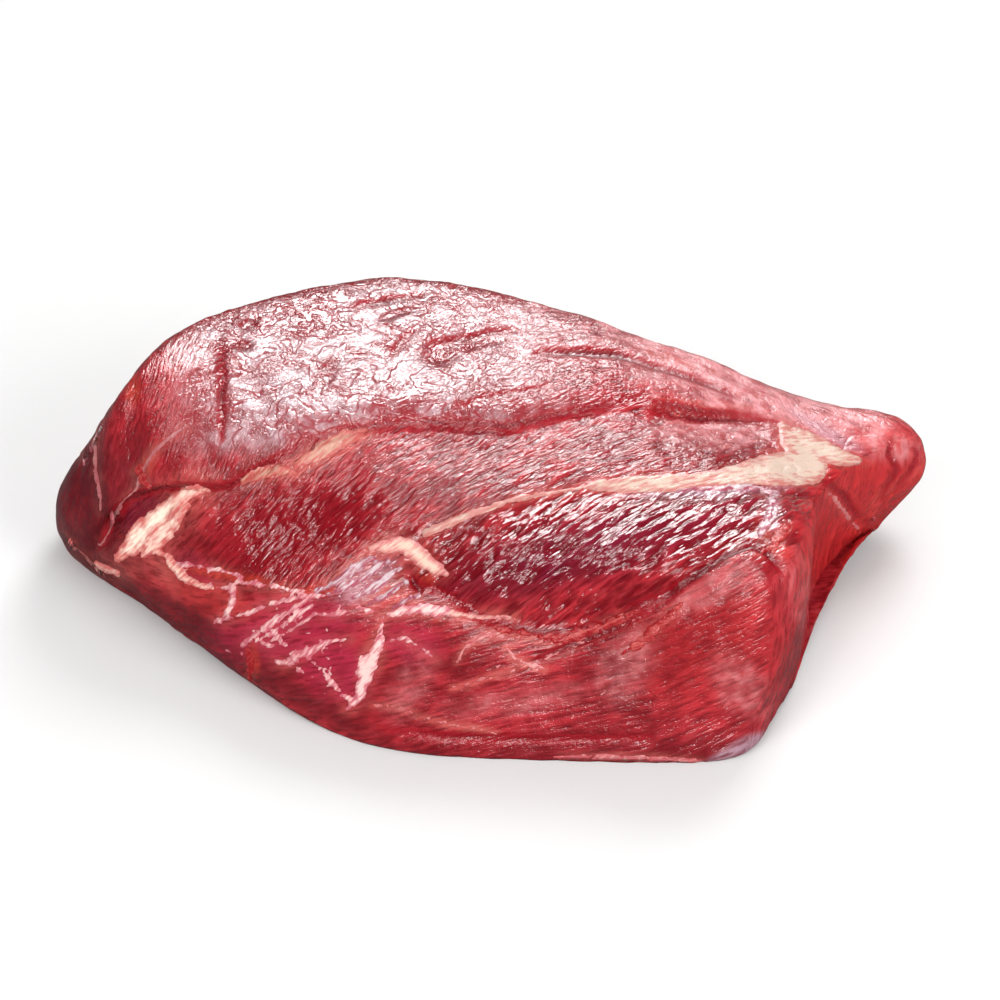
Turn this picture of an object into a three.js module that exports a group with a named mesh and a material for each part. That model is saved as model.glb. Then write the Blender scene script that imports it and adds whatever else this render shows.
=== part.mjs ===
import * as THREE from 'three';

// A raw beef brisket, trimmed to its two muscles, lying on its flat underside.
// Millimetres, +Z up. The origin is under the middle of the meat, on the plane that it rests on.

// The trimmed sides. Each one faces a compass direction in degrees from +X towards +Y and a
// lift in degrees above level, and lies a reach away from the middle of the meat.
const middle = [2, -9.5, 35];
const trimmedSides = {
  underside: { facing: 0, lift: -90, reach: 38 },
  crown: { facing: 90, lift: 88, reach: 42 },
  crownRight: { facing: 30, lift: 70, reach: 53 },
  slopeLeft: { facing: 247, lift: 54, reach: 51 },
  slopeFront: { facing: 268, lift: 79, reach: 41 },
  back: { facing: 72, lift: 18, reach: 72 },
  backLow: { facing: 72, lift: -25, reach: 78 },
  backLeft: { facing: 110, lift: 30, reach: 89 },
  backLeftEnd: { facing: 154, lift: 22, reach: 118 },
  leftEnd: { facing: 176, lift: 0, reach: 167 },
  leftUnder: { facing: 210, lift: -34, reach: 138 },
  leftFront: { facing: 205, lift: 3, reach: 152 },
  frontLeft: { facing: 226, lift: 14, reach: 85 },
  frontLeftUnder: { facing: 224, lift: -28, reach: 92 },
  frontMiddle: { facing: 247, lift: 12, reach: 73.5 },
  front: { facing: 268, lift: 14, reach: 65.5 },
  cutEnd: { facing: -26, lift: 4, reach: 105 },
};

// How sharply one side turns into the next: a higher number gives a tighter edge.
const edgeTightness = 18;

// Broad swells and hollows: where each one sits, how far it spreads along X, Y and Z,
// and how far the surface rises there. A hollow has a negative rise.
const swells = {
  lobe: { at: [-60, 37, 62], spread: [60, 50, 40], rise: 3 },
  leftBulge: { at: [-138, 0, 28], spread: [22, 36, 28], rise: 6 },
  tip: { at: [148, 30, 28], spread: [32, 24, 24], rise: 16.5 },
  cutHollow: { at: [112, -19, 16], spread: [60, 34, 60], rise: -12 },
  tipUnder: { at: [136, 10, 2], spread: [28, 24, 24], rise: -7 },
  frontCorner: { at: [84, -67, 50], spread: [45, 30, 36], rise: 5 },
  frontCornerUnder: { at: [98, -80, 2], spread: [26, 24, 20], rise: -4.5 },
  backSeam: { at: [20, 78, 34], spread: [90, 30, 9], rise: -4 },
  backLobe: { at: [-62, 78, 52], spread: [34, 30, 22], rise: 3 },
  backFlat: { at: [70, 72, 46], spread: [30, 30, 16], rise: 2.5 },
};

// The seams between the muscles are drawn on a plane that faces a viewer in front of the meat,
// who looks down on it: across is millimetres to the right of the aim and up is millimetres above it.
const viewerLift = 40;
const viewerDistance = 1100;
const aim = [3.5, 38, 0];

// Each seam is a line from left to right. The meat above the line stands proud by step, or
// lies lower where step is negative, and a crease runs along the line itself.
const seams = {
  lobeEdge: {
    line: [[-136, -20], [-127, -4], [-113, 4], [-92, 5], [-79, 11], [-66, 19], [-45, 24.5],
      [-20, 26], [2, 24.5], [24, 30], [47, 33], [67, 30], [87, 27.5], [104, 22]],
    step: 2.8, crease: 2.6, creaseWidth: 5, easing: 20, fadeIn: 8, fadeOut: 40,
  },
  bandEdge: {
    line: [[-55, -28], [-43, -18], [-32, -10], [-10, -4], [13, 1.5], [25, 4], [50, 6], [75, 8],
      [100, 9], [118, 10]],
    step: 1.4, crease: 1.2, creaseWidth: 5, easing: 14, fadeIn: 16, fadeOut: 30,
  },
  frontFold: {
    line: [[-40, -21], [-18, -32], [-4, -40], [8, -43], [22, -43.5], [34, -41], [47, -35],
      [59, -30], [66, -24], [74, -18], [82, -14], [88, -16], [93, -22]],
    step: -2.6, crease: 3, creaseWidth: 5, easing: 18, fadeIn: 24, fadeOut: 8,
  },
};

// Smaller hollows on the same plane: where each one is, its half length and half width,
// the turn of its long axis in degrees, and its depth.
const hollows = {
  recess: { at: [-70, -11], half: [36, 16], turn: 18, depth: 6.5 },
  membrane: { at: [-36, -26], half: [15, 9], turn: -20, depth: 3 },
  underBand: { at: [34, -31], half: [30, 9], turn: 22, depth: 3.2 },
  ledge: { at: [28, -47], half: [17, 4.5], turn: 24, depth: 2.2 },
  endFold: { at: [-121, 6], half: [9, 24], turn: 20, depth: 2 },
};

// A plain box with slanted sides, inside the meat. Its grid is thrown outwards from the middle
// on to the surface, so its corners lie towards the corners of the meat.
const boxCorners = {
  leftFront: { top: [-112, -42, 44], bottom: [-106, -42, -2] },
  rightFront: { top: [99, -80, 68], bottom: [88, -78, -2] },
  rightBack: { top: [134, 36, 48], bottom: [122, 34, -2] },
  leftBack: { top: [-96, 70, 70], bottom: [-102, 58, -2] },
};
const cellsAlong = 64;
const cellsDeep = 37;
const cellsHigh = 16;

const meatColour = 0x9c3440;
const meatRoughness = 0.45;

const radians = THREE.MathUtils.degToRad;

// A direction from a compass angle and a lift.
function direction(facing, lift) {
  const level = Math.cos(radians(lift));
  const x = Math.cos(radians(facing)) * level;
  const y = Math.sin(radians(facing)) * level;
  return new THREE.Vector3(x, y, Math.sin(radians(lift)));
}

function smooth(value, from, to) {
  return THREE.MathUtils.smoothstep(value, from, to);
}

const sidePlanes = Object.values(trimmedSides).map((side) => {
  return direction(side.facing, side.lift).divideScalar(side.reach);
});

const viewer = direction(-90, viewerLift);
const viewerUp = new THREE.Vector3(0, viewer.z, -viewer.y);
const aimPoint = new THREE.Vector3(...aim);

// The rounded block. Along a direction from the middle, the largest of the sides' shares says
// how near the surface is, and a high power mean of the shares rounds the edges between them.
function blockPoint(towards) {
  const shares = sidePlanes.map((plane) => Math.max(0, plane.dot(towards)));
  const total = shares.reduce((sum, share) => sum + share ** edgeTightness, 0);
  const nearness = total ** (1 / edgeTightness);
  const normal = new THREE.Vector3();
  sidePlanes.forEach((plane, side) => {
    normal.addScaledVector(plane, (shares[side] / nearness) ** (edgeTightness - 1));
  });
  const point = towards.clone().divideScalar(nearness).add(new THREE.Vector3(...middle));
  return { point, normal: normal.normalize() };
}

// A point of the surface on the viewer's plane, with distant points drawn smaller.
function onViewerPlane(point) {
  const offset = point.clone().sub(aimPoint);
  const scale = viewerDistance / (viewerDistance - offset.dot(viewer));
  return [offset.x * scale, offset.dot(viewerUp) * scale];
}

// The height of a line at a place across it, on smooth curves through its points, and its slope.
function lineAt(line, across) {
  const last = line.length - 1;
  const place = Math.min(Math.max(across, line[0][0]), line[last][0]);
  const next = Math.min(last, Math.max(1, line.findIndex((spot) => spot[0] >= place)));
  const [startX, startY] = line[next - 1];
  const [endX, endY] = line[next];
  const slopeAt = (index) => {
    const before = line[Math.max(0, index - 1)];
    const after = line[Math.min(last, index + 1)];
    return (after[1] - before[1]) / (after[0] - before[0]);
  };
  const span = endX - startX;
  const t = (place - startX) / span;
  const startSlope = slopeAt(next - 1) * span;
  const endSlope = slopeAt(next) * span;
  const height = (2 * t ** 3 - 3 * t ** 2 + 1) * startY + (t ** 3 - 2 * t ** 2 + t) * startSlope
    + (3 * t ** 2 - 2 * t ** 3) * endY + (t ** 3 - t ** 2) * endSlope;
  const slope = ((6 * t ** 2 - 6 * t) * (startY - endY) + (3 * t ** 2 - 4 * t + 1) * startSlope
    + (3 * t ** 2 - 2 * t) * endSlope) / span;
  return { height, slope };
}

// How far a seam lifts the surface: a soft step from one side of its line to the other,
// which eases back to nothing, less the crease on the line.
function seamRise(seam, across, up) {
  const { height, slope } = lineAt(seam.line, across);
  const above = (up - height) / Math.hypot(1, slope);
  const start = seam.line[0][0];
  const end = seam.line[seam.line.length - 1][0];
  const shown = smooth(across, start, start + seam.fadeIn) * (1 - smooth(across, end - seam.fadeOut, end));
  const step = seam.step * Math.tanh(above / seam.creaseWidth) * Math.exp(-Math.abs(above) / seam.easing);
  return shown * (step - seam.crease * Math.exp(-((above / seam.creaseWidth) ** 2)));
}

function hollowRise(hollow, across, up) {
  const turn = radians(hollow.turn);
  const dx = across - hollow.at[0];
  const dy = up - hollow.at[1];
  const along = (dx * Math.cos(turn) + dy * Math.sin(turn)) / hollow.half[0];
  const beside = (dy * Math.cos(turn) - dx * Math.sin(turn)) / hollow.half[1];
  return -hollow.depth * Math.exp(-(along ** 2) - beside ** 2);
}

function swellRise(swell, point) {
  const offsets = point.toArray().map((value, axis) => (value - swell.at[axis]) / swell.spread[axis]);
  return swell.rise * Math.exp(-offsets.reduce((sum, offset) => sum + offset ** 2, 0));
}

// The meat's surface along a direction: the block, its swells, and the seams and hollows
// where the surface faces the viewer. Below the resting plane it is flattened.
function meatPoint(towards) {
  const { point, normal } = blockPoint(towards);
  const [across, up] = onViewerPlane(point);
  const faced = smooth(normal.dot(viewer), 0, 0.35);
  let rise = 0;
  Object.values(swells).forEach((swell) => {
    rise += swellRise(swell, point);
  });
  Object.values(seams).forEach((seam) => {
    rise += faced * seamRise(seam, across, up);
  });
  Object.values(hollows).forEach((hollow) => {
    rise += faced * hollowRise(hollow, across, up);
  });
  point.addScaledVector(normal, rise);
  point.z = Math.max(point.z, 0);
  return point;
}

// A point of the plain box: along runs from left to right, deep from front to back, and high
// from the underside to the top, each from 0 to 1.
function boxPoint(along, deep, high) {
  const cornerAt = (corner) => {
    return new THREE.Vector3(...corner.bottom).lerp(new THREE.Vector3(...corner.top), high);
  };
  const front = cornerAt(boxCorners.leftFront).lerp(cornerAt(boxCorners.rightFront), along);
  const back = cornerAt(boxCorners.leftBack).lerp(cornerAt(boxCorners.rightBack), along);
  return front.lerp(back, deep);
}

function surfacePoint(along, deep, high) {
  return meatPoint(boxPoint(along, deep, high).sub(new THREE.Vector3(...middle)));
}

// The grid's places round the outside of the box, as [along, deep] in cells: the front from left
// to right, the right end, the back from right to left, and the left end.
function placesRound() {
  const places = [];
  for (let cell = 0; cell < cellsAlong; cell += 1) {
    places.push([cell, 0]);
  }
  for (let cell = 0; cell < cellsDeep; cell += 1) {
    places.push([cellsAlong, cell]);
  }
  for (let cell = cellsAlong; cell > 0; cell -= 1) {
    places.push([cell, cellsDeep]);
  }
  for (let cell = cellsDeep; cell > 0; cell -= 1) {
    places.push([0, cell]);
  }
  return places;
}

// One closed skin: a wall in rows from the underside up, the top that closes it, and a flat
// fan underneath.
function meatGeometry() {
  const points = [];
  const faces = [];
  const round = placesRound();
  const topIndex = new Map();
  for (let row = 0; row <= cellsHigh; row += 1) {
    round.forEach(([along, deep]) => {
      if (row === cellsHigh) {
        topIndex.set(`${along},${deep}`, points.length);
      }
      points.push(surfacePoint(along / cellsAlong, deep / cellsDeep, row / cellsHigh));
    });
  }
  for (let row = 0; row < cellsHigh; row += 1) {
    round.forEach((place, step) => {
      const here = row * round.length + step;
      const beside = row * round.length + ((step + 1) % round.length);
      faces.push(here, beside, beside + round.length, here, beside + round.length, here + round.length);
    });
  }
  for (let along = 1; along < cellsAlong; along += 1) {
    for (let deep = 1; deep < cellsDeep; deep += 1) {
      topIndex.set(`${along},${deep}`, points.length);
      points.push(surfacePoint(along / cellsAlong, deep / cellsDeep, 1));
    }
  }
  for (let along = 0; along < cellsAlong; along += 1) {
    for (let deep = 0; deep < cellsDeep; deep += 1) {
      const here = topIndex.get(`${along},${deep}`);
      const right = topIndex.get(`${along + 1},${deep}`);
      const behind = topIndex.get(`${along},${deep + 1}`);
      const across = topIndex.get(`${along + 1},${deep + 1}`);
      faces.push(here, right, across, here, across, behind);
    }
  }
  points.push(new THREE.Vector3(middle[0], middle[1], 0));
  round.forEach((place, step) => {
    faces.push(points.length - 1, (step + 1) % round.length, step);
  });
  const geometry = new THREE.BufferGeometry().setFromPoints(points);
  geometry.setIndex(faces);
  geometry.computeVertexNormals();
  return geometry;
}

const brisket = new THREE.Mesh(
  meatGeometry(),
  new THREE.MeshStandardMaterial({ color: meatColour, roughness: meatRoughness, metalness: 0 }),
);
brisket.name = 'brisket';

const part = new THREE.Group();
part.add(brisket);

export default part;
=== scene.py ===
import math

import bpy
import numpy as np
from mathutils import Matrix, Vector


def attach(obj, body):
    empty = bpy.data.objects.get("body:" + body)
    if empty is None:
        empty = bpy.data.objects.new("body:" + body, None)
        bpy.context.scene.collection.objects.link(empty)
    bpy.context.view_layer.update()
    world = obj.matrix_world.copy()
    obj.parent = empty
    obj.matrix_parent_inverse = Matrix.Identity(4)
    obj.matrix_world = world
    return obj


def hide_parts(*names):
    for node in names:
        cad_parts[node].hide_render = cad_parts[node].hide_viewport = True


# A raw beef brisket on a plain pale floor. Shapes are worked out in millimetres, in the
# frame of the CAD part, and go into Blender in metres.
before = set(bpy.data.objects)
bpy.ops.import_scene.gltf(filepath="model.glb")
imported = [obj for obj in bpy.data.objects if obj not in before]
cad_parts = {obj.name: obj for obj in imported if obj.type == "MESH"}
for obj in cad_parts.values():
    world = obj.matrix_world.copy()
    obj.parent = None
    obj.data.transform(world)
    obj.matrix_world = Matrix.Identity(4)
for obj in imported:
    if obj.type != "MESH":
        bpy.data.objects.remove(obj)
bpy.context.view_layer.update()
mm = 0.001
print("frame loaded")

# the meat's main shape: trimmed sides, swells, seams and hollows

mainShape = {
    "middle": (2, -9.5, 35),
    "edgeTightness": 18,
    "sides": {  # name: (facing, lift, reach)
        "underside": (0, -90, 38),
        "crown": (90, 88, 42),
        "crownRight": (30, 70, 53),
        "slopeLeft": (247, 54, 51),
        "slopeFront": (268, 79, 41),
        "back": (72, 18, 72),
        "backLow": (72, -25, 78),
        "backLeft": (110, 30, 89),
        "backLeftEnd": (154, 22, 118),
        "leftEnd": (176, 0, 167),
        "leftUnder": (210, -34, 138),
        "leftFront": (205, 3, 152),
        "frontLeft": (226, 14, 85),
        "frontLeftUnder": (224, -28, 92),
        "frontMiddle": (247, 12, 73.5),
        "front": (268, 14, 65.5),
        "cutEnd": (-26, 4, 105),
    },
    "swells": {  # name: (at, spread, rise)
        "lobe": ((-60, 37, 62), (60, 50, 40), 3),
        "leftBulge": ((-138, 0, 28), (22, 36, 28), 6),
        "tip": ((148, 30, 28), (32, 24, 24), 16.5),
        "cutHollow": ((112, -19, 16), (60, 34, 60), -12),
        "tipUnder": ((136, 10, 2), (28, 24, 24), -7),
        "frontCorner": ((84, -67, 50), (45, 30, 36), 5),
        "frontCornerUnder": ((98, -80, 2), (26, 24, 20), -4.5),
        "backSeam": ((20, 78, 34), (90, 30, 9), -4),
        "backLobe": ((-62, 78, 52), (34, 30, 22), 3),
        "backFlat": ((70, 72, 46), (30, 30, 16), 2.5),
    },
    "hollows": {  # name: (at, half, turn, depth)
        "recess": ((-70, -11), (36, 16), 18, 6.5),
        "membrane": ((-36, -26), (15, 9), -20, 3),
        "underBand": ((34, -31), (30, 9), 22, 3.2),
        "ledge": ((28, -47), (17, 4.5), 24, 2.2),
        "endFold": ((-121, 6), (9, 24), 20, 2),
    },
    "corners": {  # the slanted box whose grid is thrown on to the surface: (top, bottom)
        "leftFront": ((-112, -42, 44), (-106, -42, -2)),
        "rightFront": ((99, -80, 68), (88, -78, -2)),
        "rightBack": ((134, 36, 48), (122, 34, -2)),
        "leftBack": ((-96, 70, 70), (-102, 58, -2)),
    },
    "cellsAlong": 250,
    "cellsDeep": 150,
    "cellsHigh": 66,
    "undersideRings": 10,
}

# Seams between the muscles, from left to right on the viewer's plane: across and up from the aim.
# The step and crease are those of the CAD part, of which broad is the share kept here. cut is a
# narrow groove that only a fine surface can hold, and lip is how far the proud side leans over it.
seams = {
    "lobeEdge": {
        "line": [(-136, -20), (-127, -4), (-113, 4), (-92, 5), (-79, 11), (-66, 19), (-45, 24.5),
                 (-20, 26), (2, 24.5), (24, 30), (47, 33), (67, 30), (87, 27.5), (104, 22)],
        "step": 2.8, "crease": 2.6, "creaseWidth": 3.2, "easing": 20, "fadeIn": 8, "fadeOut": 40,
        "broad": 0.4, "lip": 1.3, "cut": 1.5,
    },
    "bandEdge": {
        "line": [(-55, -28), (-43, -18), (-32, -10), (-10, -4), (13, 1.5), (25, 4), (50, 6),
                 (75, 8), (100, 9), (118, 10)],
        "step": 1.4, "crease": 1.2, "creaseWidth": 5, "easing": 14, "fadeIn": 16, "fadeOut": 30,
        "broad": 1, "lip": 0, "cut": 0,
    },
    "frontFold": {
        "line": [(-40, -21), (-18, -32), (-4, -40), (8, -43), (22, -43.5), (34, -41), (47, -35),
                 (59, -30), (66, -24), (74, -18), (82, -14), (88, -16), (93, -22)],
        "step": -2.6, "crease": 3, "creaseWidth": 5, "easing": 18, "fadeIn": 24, "fadeOut": 8,
        "broad": 0.6, "lip": -0.9, "cut": 0.9,
    },
}

viewing = {
    "lift": 40,  # degrees above level
    "distance": 1100,
    "aim": (3.5, 38, 0),
    "lens": 118.8,
}


# Unit vector from a compass angle, from +X towards +Y, and a lift above level.
def direction(facing, lift):
    level = math.cos(math.radians(lift))
    east = math.cos(math.radians(facing)) * level
    north = math.sin(math.radians(facing)) * level
    return np.array([east, north, math.sin(math.radians(lift))])


viewer = direction(-90, viewing["lift"])
viewerUp = np.array([0, viewer[2], -viewer[1]])


# A smooth rise from 0 to 1 between two values: 3t squared less 2t cubed.
def smooth(value, low, high):
    t = np.clip((value - low) / (high - low), 0, 1)
    return t * t * (3 - 2 * t)


# Across and up on the viewer's plane, and the depth towards the viewer.
def onViewerPlane(points):
    offset = points - np.array(viewing["aim"])
    depth = offset @ viewer
    scale = viewing["distance"] / (viewing["distance"] - depth)
    return offset[:, 0] * scale, offset @ viewerUp * scale, depth


# The rounded block: along a direction, the power mean of the sides' shares says how near the
# surface is, and the sides weighted by those shares give its normal.
def blockSurface(towards):
    sides = mainShape["sides"].values()
    planes = np.array([direction(facing, lift) / reach for facing, lift, reach in sides])
    tightness = mainShape["edgeTightness"]
    shares = np.maximum(0, towards @ planes.T)
    nearness = (shares ** tightness).sum(1, keepdims=True) ** (1 / tightness)
    normals = (shares / nearness) ** (tightness - 1) @ planes
    normals /= np.linalg.norm(normals, axis=1, keepdims=True)
    return towards / nearness + np.array(mainShape["middle"]), normals


# Height and slope of a line at places across it, on smooth cubic curves through its points.
def lineAt(line, across):
    spots = np.array(line, float)
    x, y = spots[:, 0], spots[:, 1]
    slopes = np.empty(len(x))
    slopes[1:-1] = (y[2:] - y[:-2]) / (x[2:] - x[:-2])
    slopes[0] = (y[1] - y[0]) / (x[1] - x[0])
    slopes[-1] = (y[-1] - y[-2]) / (x[-1] - x[-2])
    place = np.clip(across, x[0], x[-1])
    k = np.clip(np.searchsorted(x, place), 1, len(x) - 1)
    span = x[k] - x[k - 1]
    t = (place - x[k - 1]) / span
    a, b = slopes[k - 1] * span, slopes[k] * span
    height = ((2 * t**3 - 3 * t**2 + 1) * y[k - 1] + (t**3 - 2 * t**2 + t) * a
              + (3 * t**2 - 2 * t**3) * y[k] + (t**3 - t**2) * b)
    slope = ((6 * t**2 - 6 * t) * (y[k - 1] - y[k]) + (3 * t**2 - 4 * t + 1) * a
             + (3 * t**2 - 2 * t) * b) / span
    return height, slope


# How far points lie above a seam, measured square to it, and how much of the seam shows there.
def besideSeam(seam, across, up):
    height, slope = lineAt(seam["line"], across)
    start, end = seam["line"][0][0], seam["line"][-1][0]
    shown = smooth(across, start, start + seam["fadeIn"]) * (1 - smooth(across, end - seam["fadeOut"], end))
    return (up - height) / np.hypot(1, slope), shown


# The main surface along directions: the block, its swells, seams and hollows, flattened
# below the resting plane.
def mainSurface(towards):
    points, normals = blockSurface(towards)
    across, up, depth = onViewerPlane(points)
    faced = smooth(normals @ viewer, 0, 0.35)
    rise = np.zeros(len(points))
    for at, spread, height in mainShape["swells"].values():
        rise += height * np.exp(-(((points - np.array(at)) / np.array(spread)) ** 2).sum(1))
    for at, half, turn, depth in mainShape["hollows"].values():
        dx, dy = across - at[0], up - at[1]
        c, s = math.cos(math.radians(turn)), math.sin(math.radians(turn))
        rise -= faced * depth * np.exp(-(((dx * c + dy * s) / half[0]) ** 2) - ((dy * c - dx * s) / half[1]) ** 2)
    lean = np.zeros(len(points))
    for seam in seams.values():
        above, shown = besideSeam(seam, across, up)
        step = seam["step"] * np.tanh(above / seam["creaseWidth"]) * np.exp(-abs(above) / seam["easing"])
        crease = seam["crease"] * np.exp(-((above / seam["creaseWidth"]) ** 2))
        rise += faced * shown * (step - seam["broad"] * crease)
        rise -= faced * shown * seam["cut"] * np.exp(-((above / 1.4) ** 2))
        proud = np.exp(-(((above - math.copysign(2.2, seam["lip"])) / 2.2) ** 2))
        lean += faced * shown * seam["lip"] * proud
    points = points + normals * rise[:, None] - viewerUp * lean[:, None]
    points[:, 2] = np.maximum(points[:, 2], 0)
    return points


# The closed grid: places (along, deep, high) of its points, and its faces. A wall of rows goes
# round the box, a grid closes the top, and shrinking rings close the underside.
def closedGrid():
    nx, ny, nz = mainShape["cellsAlong"], mainShape["cellsDeep"], mainShape["cellsHigh"]
    x, y = np.arange(nx), np.arange(ny)
    round_ = np.concatenate([
        np.stack([x, 0 * x], 1),
        np.stack([0 * y + nx, y], 1),
        np.stack([nx - x, 0 * x + ny], 1),
        np.stack([0 * y, ny - y], 1),
    ])
    count = len(round_)
    rows = np.repeat(np.arange(nz + 1), count)
    wall = np.column_stack([np.tile(round_, (nz + 1, 1)), rows])
    topIndex = np.zeros((nx + 1, ny + 1), int)
    topIndex[round_[:, 0], round_[:, 1]] = nz * count + np.arange(count)
    innerX, innerY = np.meshgrid(np.arange(1, nx), np.arange(1, ny), indexing="ij")
    inner = np.column_stack([innerX.ravel(), innerY.ravel(), np.full(innerX.size, nz)])
    topIndex[1:nx, 1:ny] = len(wall) + np.arange(innerX.size).reshape(innerX.shape)
    here = (np.arange(nz)[:, None] * count + np.arange(count)[None, :]).ravel()
    beside = (np.arange(nz)[:, None] * count + (np.arange(count) + 1)[None, :] % count).ravel()
    wallFaces = np.stack([here, beside, beside + count, here + count], 1)
    topFaces = np.stack([topIndex[:-1, :-1], topIndex[1:, :-1], topIndex[1:, 1:], topIndex[:-1, 1:]], -1)
    places = np.concatenate([wall, inner]) / np.array([nx, ny, nz])
    return places, np.concatenate([wallFaces, topFaces.reshape(-1, 4)]), count


# Points of the slanted box at places in it, by mixing its eight corners.
def boxPoints(places):
    corners = mainShape["corners"]
    along, deep, high = (places[:, k:k + 1] for k in range(3))

    def corner(name):
        top, bottom = (np.array(end, float) for end in corners[name])
        return bottom + (top - bottom) * high

    front = corner("leftFront") * (1 - along) + corner("rightFront") * along
    back = corner("leftBack") * (1 - along) + corner("rightBack") * along
    return front * (1 - deep) + back * deep


# Smoothed random values on a lattice, from -1 to 1: each point mixes the eight lattice corners
# round it.
def latticeNoise(points, seed):
    table = np.random.default_rng(seed).uniform(-1, 1, 4096)
    cell = np.floor(points).astype(np.int64)
    t = points - cell
    t = t * t * t * (t * (t * 6 - 15) + 10)
    total = np.zeros(len(points))
    for corner in range(8):
        step = np.array([corner & 1, corner >> 1 & 1, corner >> 2 & 1])
        spot = cell + step
        code = (spot[:, 0] * 73856093) ^ (spot[:, 1] * 19349663) ^ (spot[:, 2] * 83492791)
        weight = np.prod(np.where(step, t, 1 - t), axis=1)
        total += weight * table[code & 4095]
    return total


# Noise in three sizes, each half as large and half as strong.
def roughNoise(points, seed):
    return sum(latticeNoise(points * 2**k + 17 * k, seed + k) / 2**k for k in range(3)) / 1.75


# Cracks between scattered cells: 1 where the nearest two cell middles are equally far, falling
# to 0 away from there.
def cellCracks(points, seed, width):
    table = np.random.default_rng(seed).uniform(0, 1, (4096, 3))
    cell = np.floor(points).astype(np.int64)
    nearest = np.full(len(points), 9.0)
    second = np.full(len(points), 9.0)
    for dx in (-1, 0, 1):
        for dy in (-1, 0, 1):
            for dz in (-1, 0, 1):
                spot = cell + np.array([dx, dy, dz])
                code = (spot[:, 0] * 73856093) ^ (spot[:, 1] * 19349663) ^ (spot[:, 2] * 83492791)
                far = np.linalg.norm(spot + table[code & 4095] - points, axis=1)
                second = np.minimum(second, np.maximum(nearest, far))
                nearest = np.minimum(nearest, far)
    return np.exp(-(((second - nearest) / width) ** 2))


# Vertex normals: the sum of the normals of the faces round each vertex.
def gridNormals(points, faces):
    diagonalA = points[faces[:, 2]] - points[faces[:, 0]]
    diagonalB = points[faces[:, 3]] - points[faces[:, 1]]
    faceNormals = np.cross(diagonalA, diagonalB)
    normals = np.zeros_like(points)
    for corner in range(4):
        for axis in range(3):
            normals[:, axis] += np.bincount(faces[:, corner], faceNormals[:, axis], len(points))
    return normals / np.maximum(np.linalg.norm(normals, axis=1, keepdims=True), 1e-9)


# muscle grain: which muscle each part of the surface is, and which way its fibres run

muscles = {  # fibre angle above the horizontal at places across, on the viewer's plane
    "lobe": [(-140, 64), (-105, 48), (-70, 33), (-20, 24), (20, 10), (60, -4), (100, -18), (145, -24)],
    "band": [(-130, 42), (-85, 39), (-55, 32), (0, 22), (45, 14), (100, 6)],
    "purple": [(-40, 36), (0, 31), (40, 27), (70, 24), (100, 20)],
    "front": [(-140, -28), (-80, 8), (-40, 16), (10, 14), (50, 28), (100, 36)],
}
bandFloor = [(-134, -18), (-113, -19), (-104, -23), (-87, -29), (-67, -30), (-53, -25), (-43, -17),
             (-32, -10), (-10, -4), (13, 1.5), (25, 4), (50, 6), (75, 8), (100, 9), (118, 10)]


# Fibre coordinates on the viewer's plane: beside is the height above a curve that follows the
# fibre angle, and along is the length run on it.
def fibreCoordinates(angles, across, up):
    spots = np.array(angles, float)
    steps = np.linspace(-180, 180, 721)
    bend = np.radians(np.interp(steps, spots[:, 0], spots[:, 1]))
    run = np.concatenate([[0], np.cumsum(np.tan(bend)[1:] * np.diff(steps))])
    angle = np.interp(across, steps, bend)
    lifted = up - np.interp(across, steps, run)
    return across / np.cos(angle) + lifted * np.sin(angle), lifted * np.cos(angle)


# Share of each muscle at each point of the front view, and the shares of the sides that the
# viewer can't see: cut end, left end, back and underside.
def muscleShares(points, normals):
    across, up, depth = onViewerPlane(points)
    aboveLobe, _ = besideSeam(seams["lobeEdge"], across, up)
    floorHeight, floorSlope = lineAt(bandFloor, across)
    aboveFloor = (up - floorHeight) / np.hypot(1, floorSlope)
    foldHeight, foldSlope = lineAt(seams["frontFold"]["line"], across)
    aboveFold = (up - foldHeight) / np.hypot(1, foldSlope)
    lobe = smooth(aboveLobe, -1, 1)
    band = (1 - lobe) * smooth(aboveFloor, -1, 1)
    purple = (1 - lobe) * (1 - smooth(aboveFloor, -1, 1)) * smooth(aboveFold, -1, 1)
    purple *= smooth(across, -42, -34)
    front = np.clip(1 - lobe - band - purple, 0, 1)
    cutEnd = smooth(normals @ direction(-26, 0), 0.72, 0.86) * smooth(points[:, 0], 70, 84)
    toEye = np.array(viewing["aim"]) + viewer * viewing["distance"] - points
    toEye /= np.linalg.norm(toEye, axis=1, keepdims=True)
    hidden = smooth(-(normals * toEye).sum(1), -0.1, 0.15)
    return {
        "lobe": lobe, "band": band, "purple": purple, "front": front,
        "cutEnd": cutEnd, "hidden": hidden, "across": across, "up": up, "depth": depth,
        "aboveLobe": aboveLobe, "aboveFloor": aboveFloor, "aboveFold": aboveFold,
    }


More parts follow.
